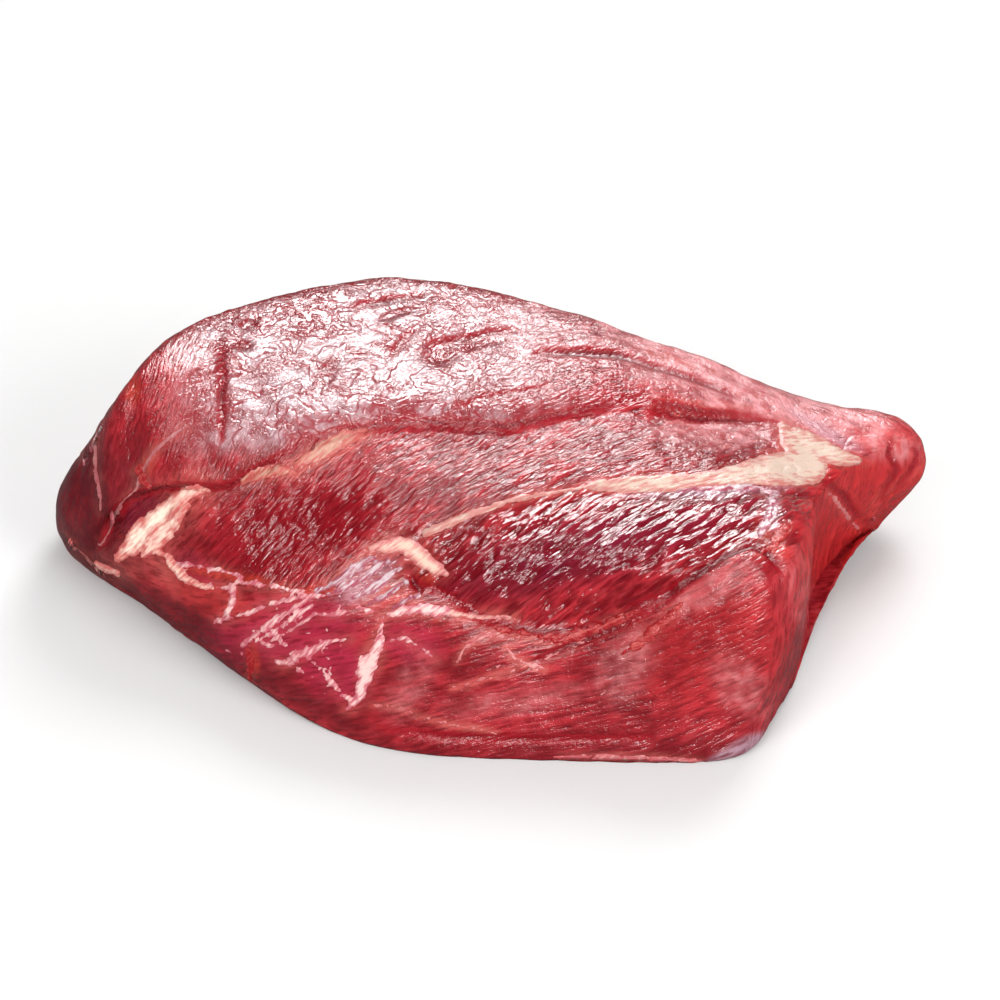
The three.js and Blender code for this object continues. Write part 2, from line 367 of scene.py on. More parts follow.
# Pale tissue on the meat, as strokes on the viewer's plane: (across, up, half width) along each.
# Each kind is a piece of its own, a thin slab that stands proud where the strokes run.
tissues = {
    "rightFat": {
        "strokes": [
            [(24, 3.7, 0.3), (30, 4.7, 1.3), (40, 5, 2.7), (53.3, 6, 3), (66.7, 6.7, 2.8),
             (78.3, 8.3, 3.7), (88.3, 10, 5), (98.3, 11, 6.3), (104, 10.7, 5.3)],
            [(94.3, 25.3, 1.3), (97.3, 20, 4), (102, 15.7, 5.3), (104, 10.7, 4.7)],
            [(98.7, 22, 3), (106.7, 17.3, 4), (115, 14, 3), (122.7, 12.3, 0.7)],
            [(24, 3.7, 0.7), (15, 2.3, 0.9), (6.7, 0.7, 1), (-1.7, -2, 1.2), (-10, -4.7, 1.2),
             (-18.3, -8, 1.4), (-25, -11, 1.6)],
        ],
        "bleed": 1.3, "proud": 0.3, "ragged": 0.8, "step": 0.5,
        "streaks": 2.0,
        "thick": (0.51, 0.38, 0.31, 1), "thin": (0.42, 0.14, 0.12, 1), "filled": 3.0,
    },
    "centreFat": {
        "strokes": [
            [(-43, -16, 1), (-38.3, -15.3, 2.3), (-33, -14.7, 3), (-28.7, -17, 3.2), (-25, -20.3, 3.2),
             (-21, -23, 2.4), (-18.3, -24.5, 1)],
            [(-16.3, -37.7, 1.3), (-12, -38.3, 0.9), (-5.7, -39, 0.8), (4, -39.3, 0.7)],
        ],
        "bleed": 2.2, "proud": 0.3, "ragged": 0.9, "step": 0.42,
        "streaks": 1.2,
        "thick": (0.66, 0.44, 0.35, 1), "thin": (0.46, 0.12, 0.12, 1), "filled": 2.6,
    },
    "leftFat": {
        "strokes": [
            [(-97.5, 3.5, 0.8), (-101, 3.6, 2.0), (-105, 1.8, 2.6), (-110, -2.2, 3.0), (-115, -6.6, 3.6),
             (-119, -10.8, 4.3), (-122.5, -15, 3.6), (-127, -19, 1.8)],
            [(-104, -1.5, 0.8), (-108, -6, 2.2), (-112.5, -11, 3.2), (-116, -15.5, 2.8), (-119, -18.5, 1.2)],
            [(-117, -15.5, 0.8), (-111.5, -18.5, 1.3), (-109, -22, 1.6), (-105, -26, 1.4), (-101, -28.2, 1.2),
             (-96, -29.6, 0.9)],
            [(-147, -13, 0.9), (-143, -17.5, 1.3), (-139.7, -20, 0.9)],
            [(-135, -21.5, 0.9), (-131, -23, 1.5), (-127.5, -24.4, 1.0)],
        ],
        "bleed": 5.0, "proud": 0.35, "ragged": 1.0, "step": 0.45, "streaks": 1.0, "bumps": 0.45,
        "thick": (0.84, 0.66, 0.54, 1), "thin": (0.50, 0.11, 0.10, 1), "filled": 3.0,
    },
    "lobeFat": {
        "strokes": [
            [(-68, 11.5, 1.3), (-62.7, 14.5, 2.4), (-56, 18.5, 2.8), (-50, 21.7, 2.4), (-44.3, 23.3, 1)],
            [(-86, 5.5, 0.8), (-82, 8, 1.8), (-77, 9.6, 2.2), (-72, 10.2, 1.6), (-68, 9, 0.7)],
        ],
        "bleed": 2.6, "proud": 0.35, "ragged": 1.1, "step": 0.45,
        "streaks": 1.8,
        "thick": (0.46, 0.25, 0.18, 1), "thin": (0.40, 0.07, 0.06, 1), "filled": 3.0,
    },
    "web": {
        "strokes": [
            [(-108.3, -21.3, 0.9), (-99.7, -22.3, 0.8), (-93, -23.7, 0.8), (-86, -25.3, 0.6)],
            [(-107, -25.5, 0.8), (-101, -28.3, 1.0), (-94, -29.2, 0.7), (-89.3, -29, 0.9)],
            [(-88, -27.3, 0.7), (-78.3, -28.3, 0.9), (-72, -29.3, 0.8), (-65.7, -31.3, 0.6)],
            [(-89.5, -29, 1.3), (-89.3, -33, 1.4), (-90.3, -37, 1.1), (-93, -39.7, 0.9), (-95.3, -41, 0.6)],
            [(-95.3, -40.8, 0.7), (-88.5, -38.8, 0.8), (-82, -37, 0.9), (-75, -34.3, 0.8), (-67, -32.3, 0.7),
             (-59, -31.8, 0.6)],
            [(-86, -48.7, 0.9), (-81.5, -44.8, 1.2), (-79.3, -43.3, 1.3), (-73.7, -39, 1.3), (-68.3, -35.7, 1.2),
             (-65.5, -33.7, 0.8)],
            [(-82, -47.5, 0.7), (-76.3, -44.5, 0.8), (-71.5, -41, 0.9), (-67, -37.7, 0.9), (-63, -35.3, 0.6)],
            [(-76.3, -47.3, 0.7), (-70, -43.5, 0.8), (-65.5, -40.5, 0.8), (-62, -38.3, 0.8), (-56.7, -38.3, 0.8),
             (-51, -37.3, 0.7), (-47.3, -35.7, 0.7), (-43, -37, 0.6)],
            [(-82, -46, 0.8), (-77, -48.7, 0.9), (-72.5, -48, 0.7)],
            [(-74.7, -54.3, 0.8), (-70.7, -54.3, 1.4), (-67.7, -51.7, 1.8), (-64, -51, 1.4), (-58, -47.5, 0.9),
             (-51, -46.3, 0.6)],
            [(-58.7, -57.7, 0.6), (-56, -61.3, 1.0), (-52.5, -65, 1.1), (-49.3, -67, 0.7)],
            [(-39.7, -46.3, 1.6), (-41.5, -50, 2.2), (-44, -54.5, 3.3), (-45.3, -58.5, 3.0), (-46, -62.5, 2.2),
             (-47, -66.5, 1.7), (-51, -69.3, 0.8)],
            [(-39, -39, 0.9), (-39.7, -43, 0.9), (-39.7, -46, 1.2)],
            [(-38, -38.3, 0.8), (-32, -36.7, 1.8), (-26, -36.3, 2.0), (-20.7, -37, 1.8), (-16.3, -37.7, 1.2)],
            [(-36.3, -46.7, 0.5), (-31.7, -46, 0.6), (-26, -50, 0.6), (-21.3, -53.3, 0.5)],
        ],
        "nets": [(-70, -42, 26, 13, 22, 0.3, 6), (-60, -54, 16, 9, -35, 0.35, 4), (-92, -27, 20, 5, -10, 0.3, 4)],
        "bleed": 2.0, "proud": 0.18, "ragged": 1.3, "step": 0.42, "streaks": 1.6, "roughness": 0.28, "bumps": 0.7,
        "thick": (0.72, 0.46, 0.43, 1), "thin": (0.44, 0.09, 0.12, 1), "filled": 1.9,
    },
    "silverSkin": {
        "strokes": [
            [(-61, -30, 0.7), (-55, -27.5, 1.3), (-50, -24.3, 1.7), (-46, -21.3, 1.9), (-42.5, -19.7, 1.2)],
            [(-57, -31.5, 0.6), (-50, -28.5, 1.1), (-45, -25.5, 1.6), (-41, -22.5, 1.9), (-37.5, -20.3, 1.2)],
            [(-50, -33, 0.6), (-44, -30, 1.3), (-39.5, -27, 1.9), (-36, -24, 1.6), (-33.5, -22.5, 0.8)],
            [(-44, -34.5, 0.6), (-39, -32, 1.1), (-34.5, -29, 1.5), (-31.5, -27, 1)],
            [(-36, -36, 0.6), (-32, -33.5, 1.0), (-27, -31.5, 0.8)],
            [(56, 4.4, 0.8), (66, 4.4, 1.2), (76, 4.6, 1.4), (86, 4.6, 1.3), (90.5, 3.2, 1.6)],
            [(91.3, 2.2, 2.0), (90, -2.5, 1.6), (88.7, -7, 1.8), (86.5, -11.5, 1.2)],
            [(40.7, 4.4, 0.5), (46, 4.4, 0.8), (52, 4.5, 0.7)],
        ],
        "nets": [(-44, -27, 15, 8, 30, 0.35, 3)],
        "bleed": 1.8, "proud": 0.2, "ragged": 1.5, "step": 0.42, "streaks": 2.2, "roughness": 0.26,
        "thick": (0.47, 0.35, 0.37, 1), "thin": (0.28, 0.05, 0.08, 1), "filled": 2.2,
    },
    "frontLines": {
        "strokes": [
            [(-14.3, -54, 0.5), (-12, -49.3, 0.7), (-5.7, -45.7, 0.8), (0.3, -44, 0.6)],
            [(2, -49.3, 0.7), (5, -53.3, 0.9), (10, -55.3, 1), (15, -56.7, 0.5)],
            [(-16, -62.7, 0.4), (-10, -61.3, 0.5), (-3.7, -58.7, 0.5), (5, -56.7, 0.4)],
            [(-44.7, -68, 0.6), (-33.3, -69, 0.5), (-27, -72.3, 0.5), (-18.3, -74.7, 0.5), (-7.7, -76.3, 0.5),
             (-1.3, -78.3, 0.4)],
            [(20, -85.7, 0.5), (33.3, -85.7, 0.9), (50, -86.3, 1.1), (66.7, -87.3, 1.2)],
            [(15, -53.3, 0.4), (23.3, -49.3, 0.5), (33.3, -44.7, 0.5), (46.7, -39, 0.5)],
            [(123.3, -4, 0.7), (127, 1.7, 0.8), (132, 5.7, 0.9), (139, 10, 0.7)],
            [(110.3, 2.3, 0.9), (114, -3, 1.0), (117.3, -7, 0.9), (120, -10.3, 0.7)],
            [(130.7, 20, 0.8), (131, 14.3, 0.7)],
        ],
        "nets": [(-8, -58, 34, 12, 10, 0.2, 9), (40, -60, 30, 14, 20, 0.12, 9)],
        "bleed": 1.0, "proud": 0.1, "ragged": 1.0, "step": 0.45,
        "thick": (0.60, 0.28, 0.26, 1), "thin": (0.40, 0.05, 0.06, 1), "filled": 1.5,
    },
    "flaps": {
        "strokes": [
            [(40, -52, 0.6), (46, -48, 1.6), (52, -43, 2.0), (57, -38.5, 1.6), (60, -35, 0.5)],
            [(14, -47, 0.5), (20, -46.5, 1.2), (30, -43.5, 1.6), (38, -40.5, 1.5), (45, -36.5, 0.9)],
            [(-2, -42.5, 0.5), (6, -44, 1.1), (14, -45.5, 1.1), (21, -46, 0.5)],
            [(87, -18, 0.6), (90.5, -14.5, 1.8), (94, -11.5, 1.6), (96, -8, 0.5)],
            [(-85, -50, 0.4), (-83.5, -54, 1.2), (-83.2, -58, 1.1), (-84, -61, 0.4)],
            [(-119, 13, 0.5), (-121.5, 9, 1.6), (-119, 6, 1.4), (-117, 4, 0.5)],
            [(52, 31.5, 0.4), (60, 29.7, 1.0), (72, 29, 1.2), (84, 28.4, 0.6)],
        ],
        "bleed": 1.2, "proud": 0.5, "ragged": 2.0, "step": 0.45,
        "streaks": 2.2, "roughness": 0.2, "bumps": 2.2,
        "thick": (0.42, 0.06, 0.055, 1), "thin": (0.28, 0.008, 0.012, 1), "filled": 2.4,
    },
    "endLines": {
        "strokes": [
            [(-135, 25, 0.7), (-135.7, 19, 0.8), (-135.3, 10, 0.8), (-134, 3, 0.9), (-133.3, -3.5, 0.6)],
            [(-106.3, 23.7, 0.6), (-110, 20.7, 0.7), (-114.3, 17, 0.8), (-118.7, 11, 1.0), (-121.3, 7, 1.0),
             (-122.3, 3, 0.8), (-125.7, -2.7, 0.8), (-129, -7, 0.9), (-132.7, -13.3, 1.0), (-134, -15.3, 1.2)],
            [(-141.7, 16.7, 0.7), (-138.3, 13.7, 0.9)],
        ],
        "bleed": 1.6, "proud": 0.12, "ragged": 0.6, "step": 0.42,
        "thick": (0.48, 0.22, 0.20, 1), "thin": (0.30, 0.06, 0.07, 1), "filled": 1.6,
    },
}

# Soft washes of colour on the viewer's plane: (across, up, half length, half width, turn, strength)
washes = {
    # painted shade: darker red on the left end, which faces away from the light, low at the left and front, under the
    # band, in the recess and along the bottom
    "paintedShade": [(-141, 0, 16, 40, 12, 0.9), (-124, 6, 7, 20, -8, 0.6), (-112, -36, 30, 5, -30, 0.7),
             (-70, -64, 40, 4, -28, 0.5), (22, -20, 34, 9, 20, 0.5), (30, -84, 70, 7, 2, 0.3),
             (-62, -8, 24, 10, 20, 0.4), (64, -44, 20, 9, 35, 0.35)],
    # painted shade: a darker deep red in the recess and along slits, seams and folds
    "deep": [(-66, -9, 32, 14, 18, 0.9), (-20, 49, 7, 4, 10, 1), (-85.5, 51.5, 3, 2, 0, 1), (-84, 58.5, 3, 2, 10, 0.9),
             (-93, 40, 1.5, 14, 0, 0.8), (-10, 52, 14, 2, 8, 0.7), (-35, 62, 6, 1.6, 20, 0.8), (-58, 42, 3, 7, -25, 0.6),
             (-104, 22, 12, 8, 40, 0.6), (40, 20, 30, 3, 6, 0.5), (-28, 3, 20, 3, 20, 0.5), (62, -46, 20, 9, 35, 0.6),
             (60, 20, 24, 5, 8, 0.5), (-20, -8, 20, 3, 20, 0.5),
             (78, -10, 15, 6, 20, 0.6)],
    "coarse": [(-66, -10, 34, 15, 18, 1), (-40, -27, 12, 8, -8, 0.8)],
    "magenta": [(-70, -43, 26, 12, 10, 0.9), (-55, -56, 14, 11, -30, 0.9), (-30, -47, 12, 8, -20, 0.7),
                (-102, -23, 9, 5, -30, 0.6)],
    "purple": [(-120, -4, 9, 6, 40, 0.9), (40, -12, 60, 13, 16, 0.75)],
    "orange": [(-92, -25, 17, 1.8, -9, 1), (-62, -30, 7, 1.8, 8, 0.9), (-50, -24, 9, 1.6, 38, 0.5),
               (60, 46, 18, 1.6, -18, 0.8), (66, 32, 22, 1.8, -6, 0.8), (92, -16, 6, 3, -40, 0.7),
               (-123, 37, 3, 5, 0, 1), (-82, -53, 2, 6, 10, 0.8), (20, -44, 26, 2.5, 8, 0.5),
               (-118, 11, 3, 4, -40, 0.6), (-25, -26, 4, 3, 0, 0.8)],
    # the grey of the silver membranes, and painted shade in strips under the right fat and on the right arm
    "greyFilmAndShade": [(-44, -27, 12, 5, 33, 0.5), (70, 3, 26, 2, 3, 0.8), (110, 22.5, 16, 2.2, -30, 0.45),
             (79, -83.5, 13, 2.8, 27, 0.9), (91, -3, 3, 8, 0, 0.5)],
    # painted sheen: pale pink soft glare on the back right, the tip and in smears on the front; it also roughens the
    # surface there
    "paintedSheen": [(72, 23, 22, 7, 0, 0.6), (42, -56, 14, 9, 60, 0.22), (6, -67, 24, 5, 8, 0.2), (80, -62, 13, 8, -50, 0.28),
              (68, -31, 14, 5, 30, 0.3), (-30, -62, 12, 7, 60, 0.15), (100, -30, 6, 18, 20, 0.15),
              (80, 44, 58, 18, -20, 0.95), (110, 30, 34, 8, -26, 0.8), (25, 58, 40, 12, -12, 0.25)],
    # painted light: a brighter red on the cut end and tip, which face the light, and on parts of the front
    "paintedLight": [(118, -8, 18, 34, -25, 0.9), (70, -48, 28, 22, 20, 0.35), (132, 14, 16, 14, 0, 1), (-95, -33, 16, 5, -20, 0.5)],
}

# Cuts and folds in the surface: (across, up, depth) along each
slits = {
    "fine": {
        "width": 1.2,
        "paths": [
            [(-48.3, 65, 0.5), (-38, 67, 1.2), (-26.7, 69.3, 0.5)],
            [(-36.7, 48.3, 0.4), (-33, 53, 0.9), (-29, 57.3, 0.4)],
            [(-24, 53, 0.4), (-12, 54, 1), (0, 56.5, 0.8), (7, 57, 0.3)],
            [(13, 50, 0.6), (28, 49.5, 1.4), (38, 49, 1.4), (45, 47, 0.8), (58, 43, 0.8), (72, 38, 0.7), (80, 34, 0.3)],
            [(-15, 31.7, 0.4), (0, 35, 0.8), (16.7, 38.3, 0.4)],
            [(-92.7, 50, 0.4), (-92.7, 36, 0.9), (-92.7, 20, 0.4)],
            [(52, 30, 0.6), (64, 27.5, 1.2), (79, 27, 1), (92, 26, 0.4)],
            [(13, -53.5, 0.5), (25, -48, 1.2), (40, -42, 1), (50, -37, 0.4)],
            [(-40, -76, 0.3), (-20, -79, 0.8), (10, -80, 0.8), (50, -79, 0.4)],
            [(-29, -26.7, 1.4), (-27, -29.5, 1.2)],
            [(131, 21, 0.2), (130, 15, 0.6), (132.3, 10, 0.6), (126.7, 0, 0.2)],
            [(135, 18.3, 0.2), (139.3, 16, 0.4), (137.3, 10, 0.5), (131.7, 3.3, 0.2)],
            [(109, 6, 0.3), (115, 1, 0.7), (119, -6, 0.3)],
            [(50, -35, 0.4), (58, -30, 1.1), (66, -24, 1.4), (75, -18, 1.3), (84, -15, 1.1), (89, -17.5, 1.2), (93, -23, 0.5)],
        ],
    },
    "broad": {
        "width": 3,
        "paths": [
            [(-123, 40, 1.4), (-122.5, 28, 1.4), (-122, 16, 1.2), (-121.5, 8, 1.2), (-123.5, 1, 1.3), (-128, -5, 1.4),
             (-133, -12, 1.4), (-137, -18, 1)],
            [(-108, 28, 0.3), (-100, 20, 0.8), (-96, 12, 0.8), (-88, 8, 0.4)],
            [(-85, 46, 0.3), (-80, 36, 0.7), (-76, 26, 0.4)],
            [(62, -14, 0.3), (50, -22, 0.8), (30, -30, 0.8), (0, -36, 0.4)],
            [(-8, -62, 0.2), (5, -66, 0.7), (30, -66, 0.6), (50, -60, 0.2)],
            [(56, -34, 0.4), (48, -44, 0.9), (40, -56, 0.4)],
        ],
    },
}


# Depth of the slits: each falls off from its line as a bell curve.
def slitDepth(slit, across, up):
    depth = np.zeros(len(across))
    for path in slit["paths"]:
        for (x0, y0, d0), (x1, y1, d1) in zip(path, path[1:]):
            dx, dy = x1 - x0, y1 - y0
            t = np.clip(((across - x0) * dx + (up - y0) * dy) / (dx * dx + dy * dy), 0, 1)
            far = np.hypot(across - x0 - dx * t, up - y0 - dy * t)
            depth = np.maximum(depth, (d0 + (d1 - d0) * t) * np.exp(-((far / slit["width"]) ** 2)))
    return depth


# Strength of a wash: the strongest of its turned ellipses, full inside and soft at the rim.
def washOf(name, across, up):
    total = np.zeros(len(across))
    for x, y, long_, wide, turn, strength in washes[name]:
        c, s = math.cos(math.radians(turn)), math.sin(math.radians(turn))
        reach = np.hypot(((across - x) * c + (up - y) * s) / long_, ((up - y) * c - (across - x) * s) / wide)
        total = np.maximum(total, strength * (1 - smooth(reach, 0.45, 1.35)))
    return total


# Millimetres inside the nearest stroke, negative outside: its half width there less the
# distance to its line.
def insideStrokes(strokes, across, up):
    inside = np.full(len(across), -30.0)
    for path in strokes:
        for (x0, y0, h0), (x1, y1, h1) in zip(path, path[1:]):
            dx, dy = x1 - x0, y1 - y0
            t = np.clip(((across - x0) * dx + (up - y0) * dy) / (dx * dx + dy * dy), 0, 1)
            far = np.hypot(across - x0 - dx * t, up - y0 - dy * t)
            inside = np.maximum(inside, h0 + (h1 - h0) * t - far)
    return inside


# fine surface

relief = {
    "bundle": {"wide": 2.6, "long": 12, "height": 0.6},  # fibre bundles
    "lump": {"size": 17, "height": 0.8},
    "dimple": {"size": 5, "height": 0.2},
    "wrinkle": {"wide": 5, "long": 9, "depth": 0.4, "width": 0.2},
    "nick": {"wide": 4, "long": 22, "depth": 0.5},
    "muscles": {"lobe": 0.3, "band": 0.75, "purple": 1.25, "front": 0.45},  # strength of the bundles
}


# Rounded ridges with narrow gaps: the absolute value of noise stretched along the fibres.
def bundleHeight(grain, seed, wide, long_):
    along, beside, depth = grain.T
    swayed = beside + 1.2 * latticeNoise(np.stack([along / 14, beside / 9, depth / 9], 1), seed + 9)
    spot = np.stack([along / long_, swayed / wide, depth / (1.6 * wide)], 1)
    return np.minimum(1, 1.7 * abs(latticeNoise(spot, seed))) - 0.5


# Grain coordinates of every region: along, beside and below its fibres. The sides that the
# viewer can't see have fibres along the piece, and the cut end has them down it.
def grainSystems(points, share):
    systems = {}
    for name, angles in muscles.items():
        along, beside = fibreCoordinates(angles, share["across"], share["up"])
        systems[name] = np.stack([along, beside, 0.3 * share["depth"]], 1)
    systems["cutEnd"] = np.stack([points[:, 2], points[:, 1] - 0.3 * points[:, 2], points[:, 0]], 1)
    systems["hidden"] = np.stack([points[:, 0], points[:, 2] + 0.25 * points[:, 0], points[:, 1]], 1)
    return systems


def fineRise(points, normals):
    share = muscleShares(points, normals)
    across, up, shown = share["across"], share["up"], 1 - share["hidden"]
    bundle, lump, dimple, wrinkle, nick = (relief[name] for name in ("bundle", "lump", "dimple", "wrinkle", "nick"))
    systems = grainSystems(points, share)
    height = np.zeros(len(points))
    for seed, name in enumerate(muscles):
        ridges = bundleHeight(systems[name], 40 + seed, bundle["wide"], bundle["long"])
        height += share[name] * relief["muscles"][name] * ridges
    height = height * shown + 0.55 * bundleHeight(systems["hidden"], 51, bundle["wide"], bundle["long"]) * share["hidden"]
    cutRidges = 0.4 * bundleHeight(systems["cutEnd"], 57, 3, 20)
    height = height * (1 - share["cutEnd"]) + cutRidges * share["cutEnd"]
    tissue, stain = np.full(len(points), -30.0), np.zeros(len(points))
    for look in tissues.values():
        field = np.where(shown > 0.3, insideStrokes(look["strokes"], across, up), -30)
        tissue = np.maximum(tissue, field)
        stain = np.maximum(stain, np.exp(-((np.minimum(0, field) / look["bleed"]) ** 2)))
    inTissue = smooth(tissue, -0.8, 0.6)
    fat = hiddenFat(points, normals, share)
    rise = bundle["height"] * height * (1 - 0.7 * inTissue) * (1 - 0.8 * smooth(fat, -0.7, 0.7))
    rise += 0.35 * smooth(fat, -0.7, 0.7)
    rise += lump["height"] * roughNoise(points / lump["size"], 81)
    rise += dimple["height"] * latticeNoise(points / dimple["size"], 87)
    # crumpled skin of the lobe
    along, beside, depth = systems["lobe"].T
    warp = 2.5 * latticeNoise(points / 8, 84)
    spot = np.stack([(along + warp) / wrinkle["long"], (beside - warp) / wrinkle["wide"], depth / 12], 1)
    crumpled = share["lobe"] * shown * smooth(up, 12, 24) * (1 - smooth(across, -15, 45)) * smooth(across, -114, -90)
    cracks = cellCracks(spot, 85, wrinkle["width"]) * crumpled
    rise -= wrinkle["depth"] * cracks
    # long shallow nicks along the fibres of the band
    along, beside, depth = systems["band"].T
    spot = np.stack([along / nick["long"], beside / nick["wide"], depth / 9], 1)
    nicks = (1 - np.minimum(1, abs(latticeNoise(spot, 91)) / 0.09)) * shown * (0.3 + 0.7 * share["band"])
    rise -= nick["depth"] * nicks
    fine = slitDepth(slits["fine"], across, up) * shown
    rise -= fine + slitDepth(slits["broad"], across, up) * shown
    rise *= smooth(points[:, 2], 0, 2.5)
    # the gaps, cracks and nicks, darkened in the colour as painted shade
    shadedGaps = np.maximum(np.clip(0.4 - height, 0, 1) * (1 - inTissue), np.maximum(0.8 * cracks, 0.6 * nicks))
    return rise, {
        "share": share, "systems": systems, "fat": fat, "tissue": tissue, "stain": stain, "shadedGaps": shadedGaps,
        "fine": fine, "crumpled": crumpled,
    }


# Fat cap low on the back: a band under a wavy line, which the viewer can't see.
def hiddenFat(points, normals, share):
    edge = 22 + 9 * latticeNoise(points / 45, 61) + 5 * latticeNoise(points / 14, 62) + 3 * latticeNoise(points / 5, 63)
    rim = 5 * latticeNoise(points / 11, 64)
    facing = 40 * (smooth(normals @ direction(78, 0), 0.1, 0.7) - 0.5) + rim
    inward = 25 * (share["hidden"] - 0.75) + 0.5 * rim
    return np.where(share["hidden"] > 0.5, np.minimum(np.minimum(edge - points[:, 2], facing), inward), -30)


# Silver skin on the back above the fat, and all over the underside.
def hiddenSkin(points, normals, share):
    patches = 5 * latticeNoise(points / 28, 65) + 2.5 * latticeNoise(points / 9, 66) - 0.5
    underside = smooth(-normals[:, 2], 0.3, 0.7) * 3
    away = 12 * (np.maximum(normals @ direction(80, 0), 1.2 - 0.5 * points[:, 2]) - 0.4)
    return np.minimum(np.minimum(patches + underside, away), 40 * (share["hidden"] - share["cutEnd"] - 0.97))


def makeMesh(name, points, faces):
    mesh = bpy.data.meshes.new(name)
    mesh.from_pydata((points * mm).tolist(), [], faces)
    mesh.shade_smooth()
    mesh.update()
    piece = bpy.data.objects.new(name, mesh)
    bpy.context.scene.collection.objects.link(piece)
    return piece


def addValues(piece, name, values):
    kind = "FLOAT" if values.ndim == 1 else "FLOAT_VECTOR"
    field = "value" if values.ndim == 1 else "vector"
    attribute = piece.data.attributes.new(name, kind, "POINT")
    attribute.data.foreach_set(field, values.astype(np.float32).ravel())


def makeBrisket():
    places, quads, count = closedGrid()
    points = mainSurface(boxPoints(places) - np.array(mainShape["middle"]))
    # the underside shrinks ring by ring to one point in the middle
    rings = mainShape["undersideRings"]
    edge = points[:count]
    middle = np.array([mainShape["middle"][0], mainShape["middle"][1], 0.0])
    inner = [middle + (edge - middle) * (1 - ring / rings) for ring in range(1, rings)]
    first = len(points)
    starts = [0] + [first + ring * count for ring in range(rings - 1)]
    step = np.arange(count)
    beside = (step + 1) % count
    under = [np.stack([a + beside, a + step, b + step, b + beside], 1) for a, b in zip(starts, starts[1:])]
    points = np.concatenate([points] + inner + [middle[None]])
    quads = np.concatenate([quads] + under)
    rise, info = fineRise(points, gridNormals(points, quads))
    normals = gridNormals(points, quads)
    points = points + normals * (rise - tissueSink * smooth(info["tissue"], -0.8, 0.4))[:, None]
    points[:, 2] = np.maximum(points[:, 2], 0)
    fan = np.stack([starts[-1] + beside, starts[-1] + step, np.full(count, len(points) - 1)], 1)
    piece = makeMesh("brisketMeat", points, quads.tolist() + fan.tolist())
    addGrain(piece, info, quads, fan)
    share = info["share"]
    shown = 1 - share["hidden"]
    across, up = share["across"], share["up"]
    crease = np.maximum(0, info["fine"])
    uneven = 0.75 + 0.5 * roughNoise(points / 12, 97)
    for name in ("lobeEdge", "frontFold"):
        above, seen = besideSeam(seams[name], across, up)
        above = above + 1.2 * roughNoise(points / 9, 98)
        crease = np.maximum(crease, seen * uneven * np.exp(-((above / 1.3) ** 2)) * shown)
    skin = hiddenSkin(points, normals, share)
    smoothLeft = 0.3 + 0.7 * smooth(across, -105, -60)
    values = {
        "fat": info["fat"], "skin": skin, "shadedGaps": info["shadedGaps"], "crease": crease,
        "stain": info["stain"] * shown,
        "crumpled": info["crumpled"],
        # the crumpled lobe where it faces the viewer: its pale film, partly painted sheen
        "filmed": info["crumpled"] * smooth(normals @ viewer, 0.25, 0.6),
        "bundled": share["purple"] * shown * (1 - share["cutEnd"]) * (1 - 0.15 * smooth(across, 35, 80)),
        "stranded": np.clip(0.7 * share["lobe"] * smooth(across, -60, -5) + 0.25 * share["band"], 0, 1) * shown,
        "streaked": (share["band"] + 0.5 * share["front"] + smoothLeft * share["lobe"] * (1 - info["crumpled"])) * shown
                    * (1 - share["cutEnd"]) + 0.35 * share["cutEnd"],
    }
    for name in washes:
        values[name] = washOf(name, across, up) * shown
    for name, amount in values.items():
        addValues(piece, name, amount)
    return piece


# Each face takes the grain of its strongest region, so that no cell mixes two directions.
def addGrain(piece, info, quads, fan):
    share, systems = info["share"], info["systems"]
    shown = 1 - share["hidden"]
    weights = {name: share[name] * shown * (1 - share["cutEnd"]) for name in muscles}
    weights["cutEnd"] = share["cutEnd"]
    weights["hidden"] = share["hidden"] * (1 - share["cutEnd"])
    strength = np.stack([weights[name] for name in systems], 1)
    grain = np.stack([systems[name] for name in systems], 1)
    corners = np.concatenate([quads.ravel(), fan.ravel()])
    quadRegion = strength[quads].sum(1).argmax(1)
    fanRegion = strength[fan].sum(1).argmax(1)
    region = np.concatenate([np.repeat(quadRegion, 4), np.repeat(fanRegion, 3)])
    values = grain[corners, region] * mm
    attribute = piece.data.attributes.new("grain", "FLOAT_VECTOR", "CORNER")
    attribute.data.foreach_set("vector", values.astype(np.float32).ravel())


tissueSink = 0.25  # how far the meat lies back under pale tissue
tissueShape = {"hidden": 0.9, "thick": 1.8, "margin": 1.3}


# How far outside the block a point is: above 1 outside, 1 on it. It grows evenly from the middle.
def blockShare(points):
    sides = mainShape["sides"].values()
    planes = np.array([direction(facing, lift) / reach for facing, lift, reach in sides])
    shares = np.maximum(0, (points - np.array(mainShape["middle"])) @ planes.T)
    return (shares ** mainShape["edgeTightness"]).sum(1) ** (1 / mainShape["edgeTightness"])


# Directions from the middle to what the viewer sees at spots of the viewer's plane. Newton steps
# bring each line of sight to the block, and then the spot aimed at is moved by what the finished
# surface misses.
def seenDirections(across, up):
    aim = np.array(viewing["aim"], float)
    eye = aim + viewer * viewing["distance"]
    goal = np.stack([across, up], 1)
    target = goal.copy()
    for _ in range(4):
        spots = aim + target[:, :1] * np.array([1.0, 0, 0]) + target[:, 1:] * viewerUp
        sight = (spots - eye) / np.linalg.norm(spots - eye, axis=1, keepdims=True)
        run = np.full(len(across), viewing["distance"] - 150.0)
        for _ in range(9):
            share = blockShare(eye + sight * run[:, None])
            slope = (blockShare(eye + sight * (run[:, None] + 0.5)) - share) / 0.5
            run += np.clip((share - 1) / np.maximum(-slope, 0.004), -10, 60)
        towards = eye + sight * run[:, None] - np.array(mainShape["middle"])
        reached = np.stack(onViewerPlane(mainSurface(towards))[:2], 1)
        target += np.clip(goal - reached, -8, 8)
    return towards, np.linalg.norm(goal - reached, axis=1)


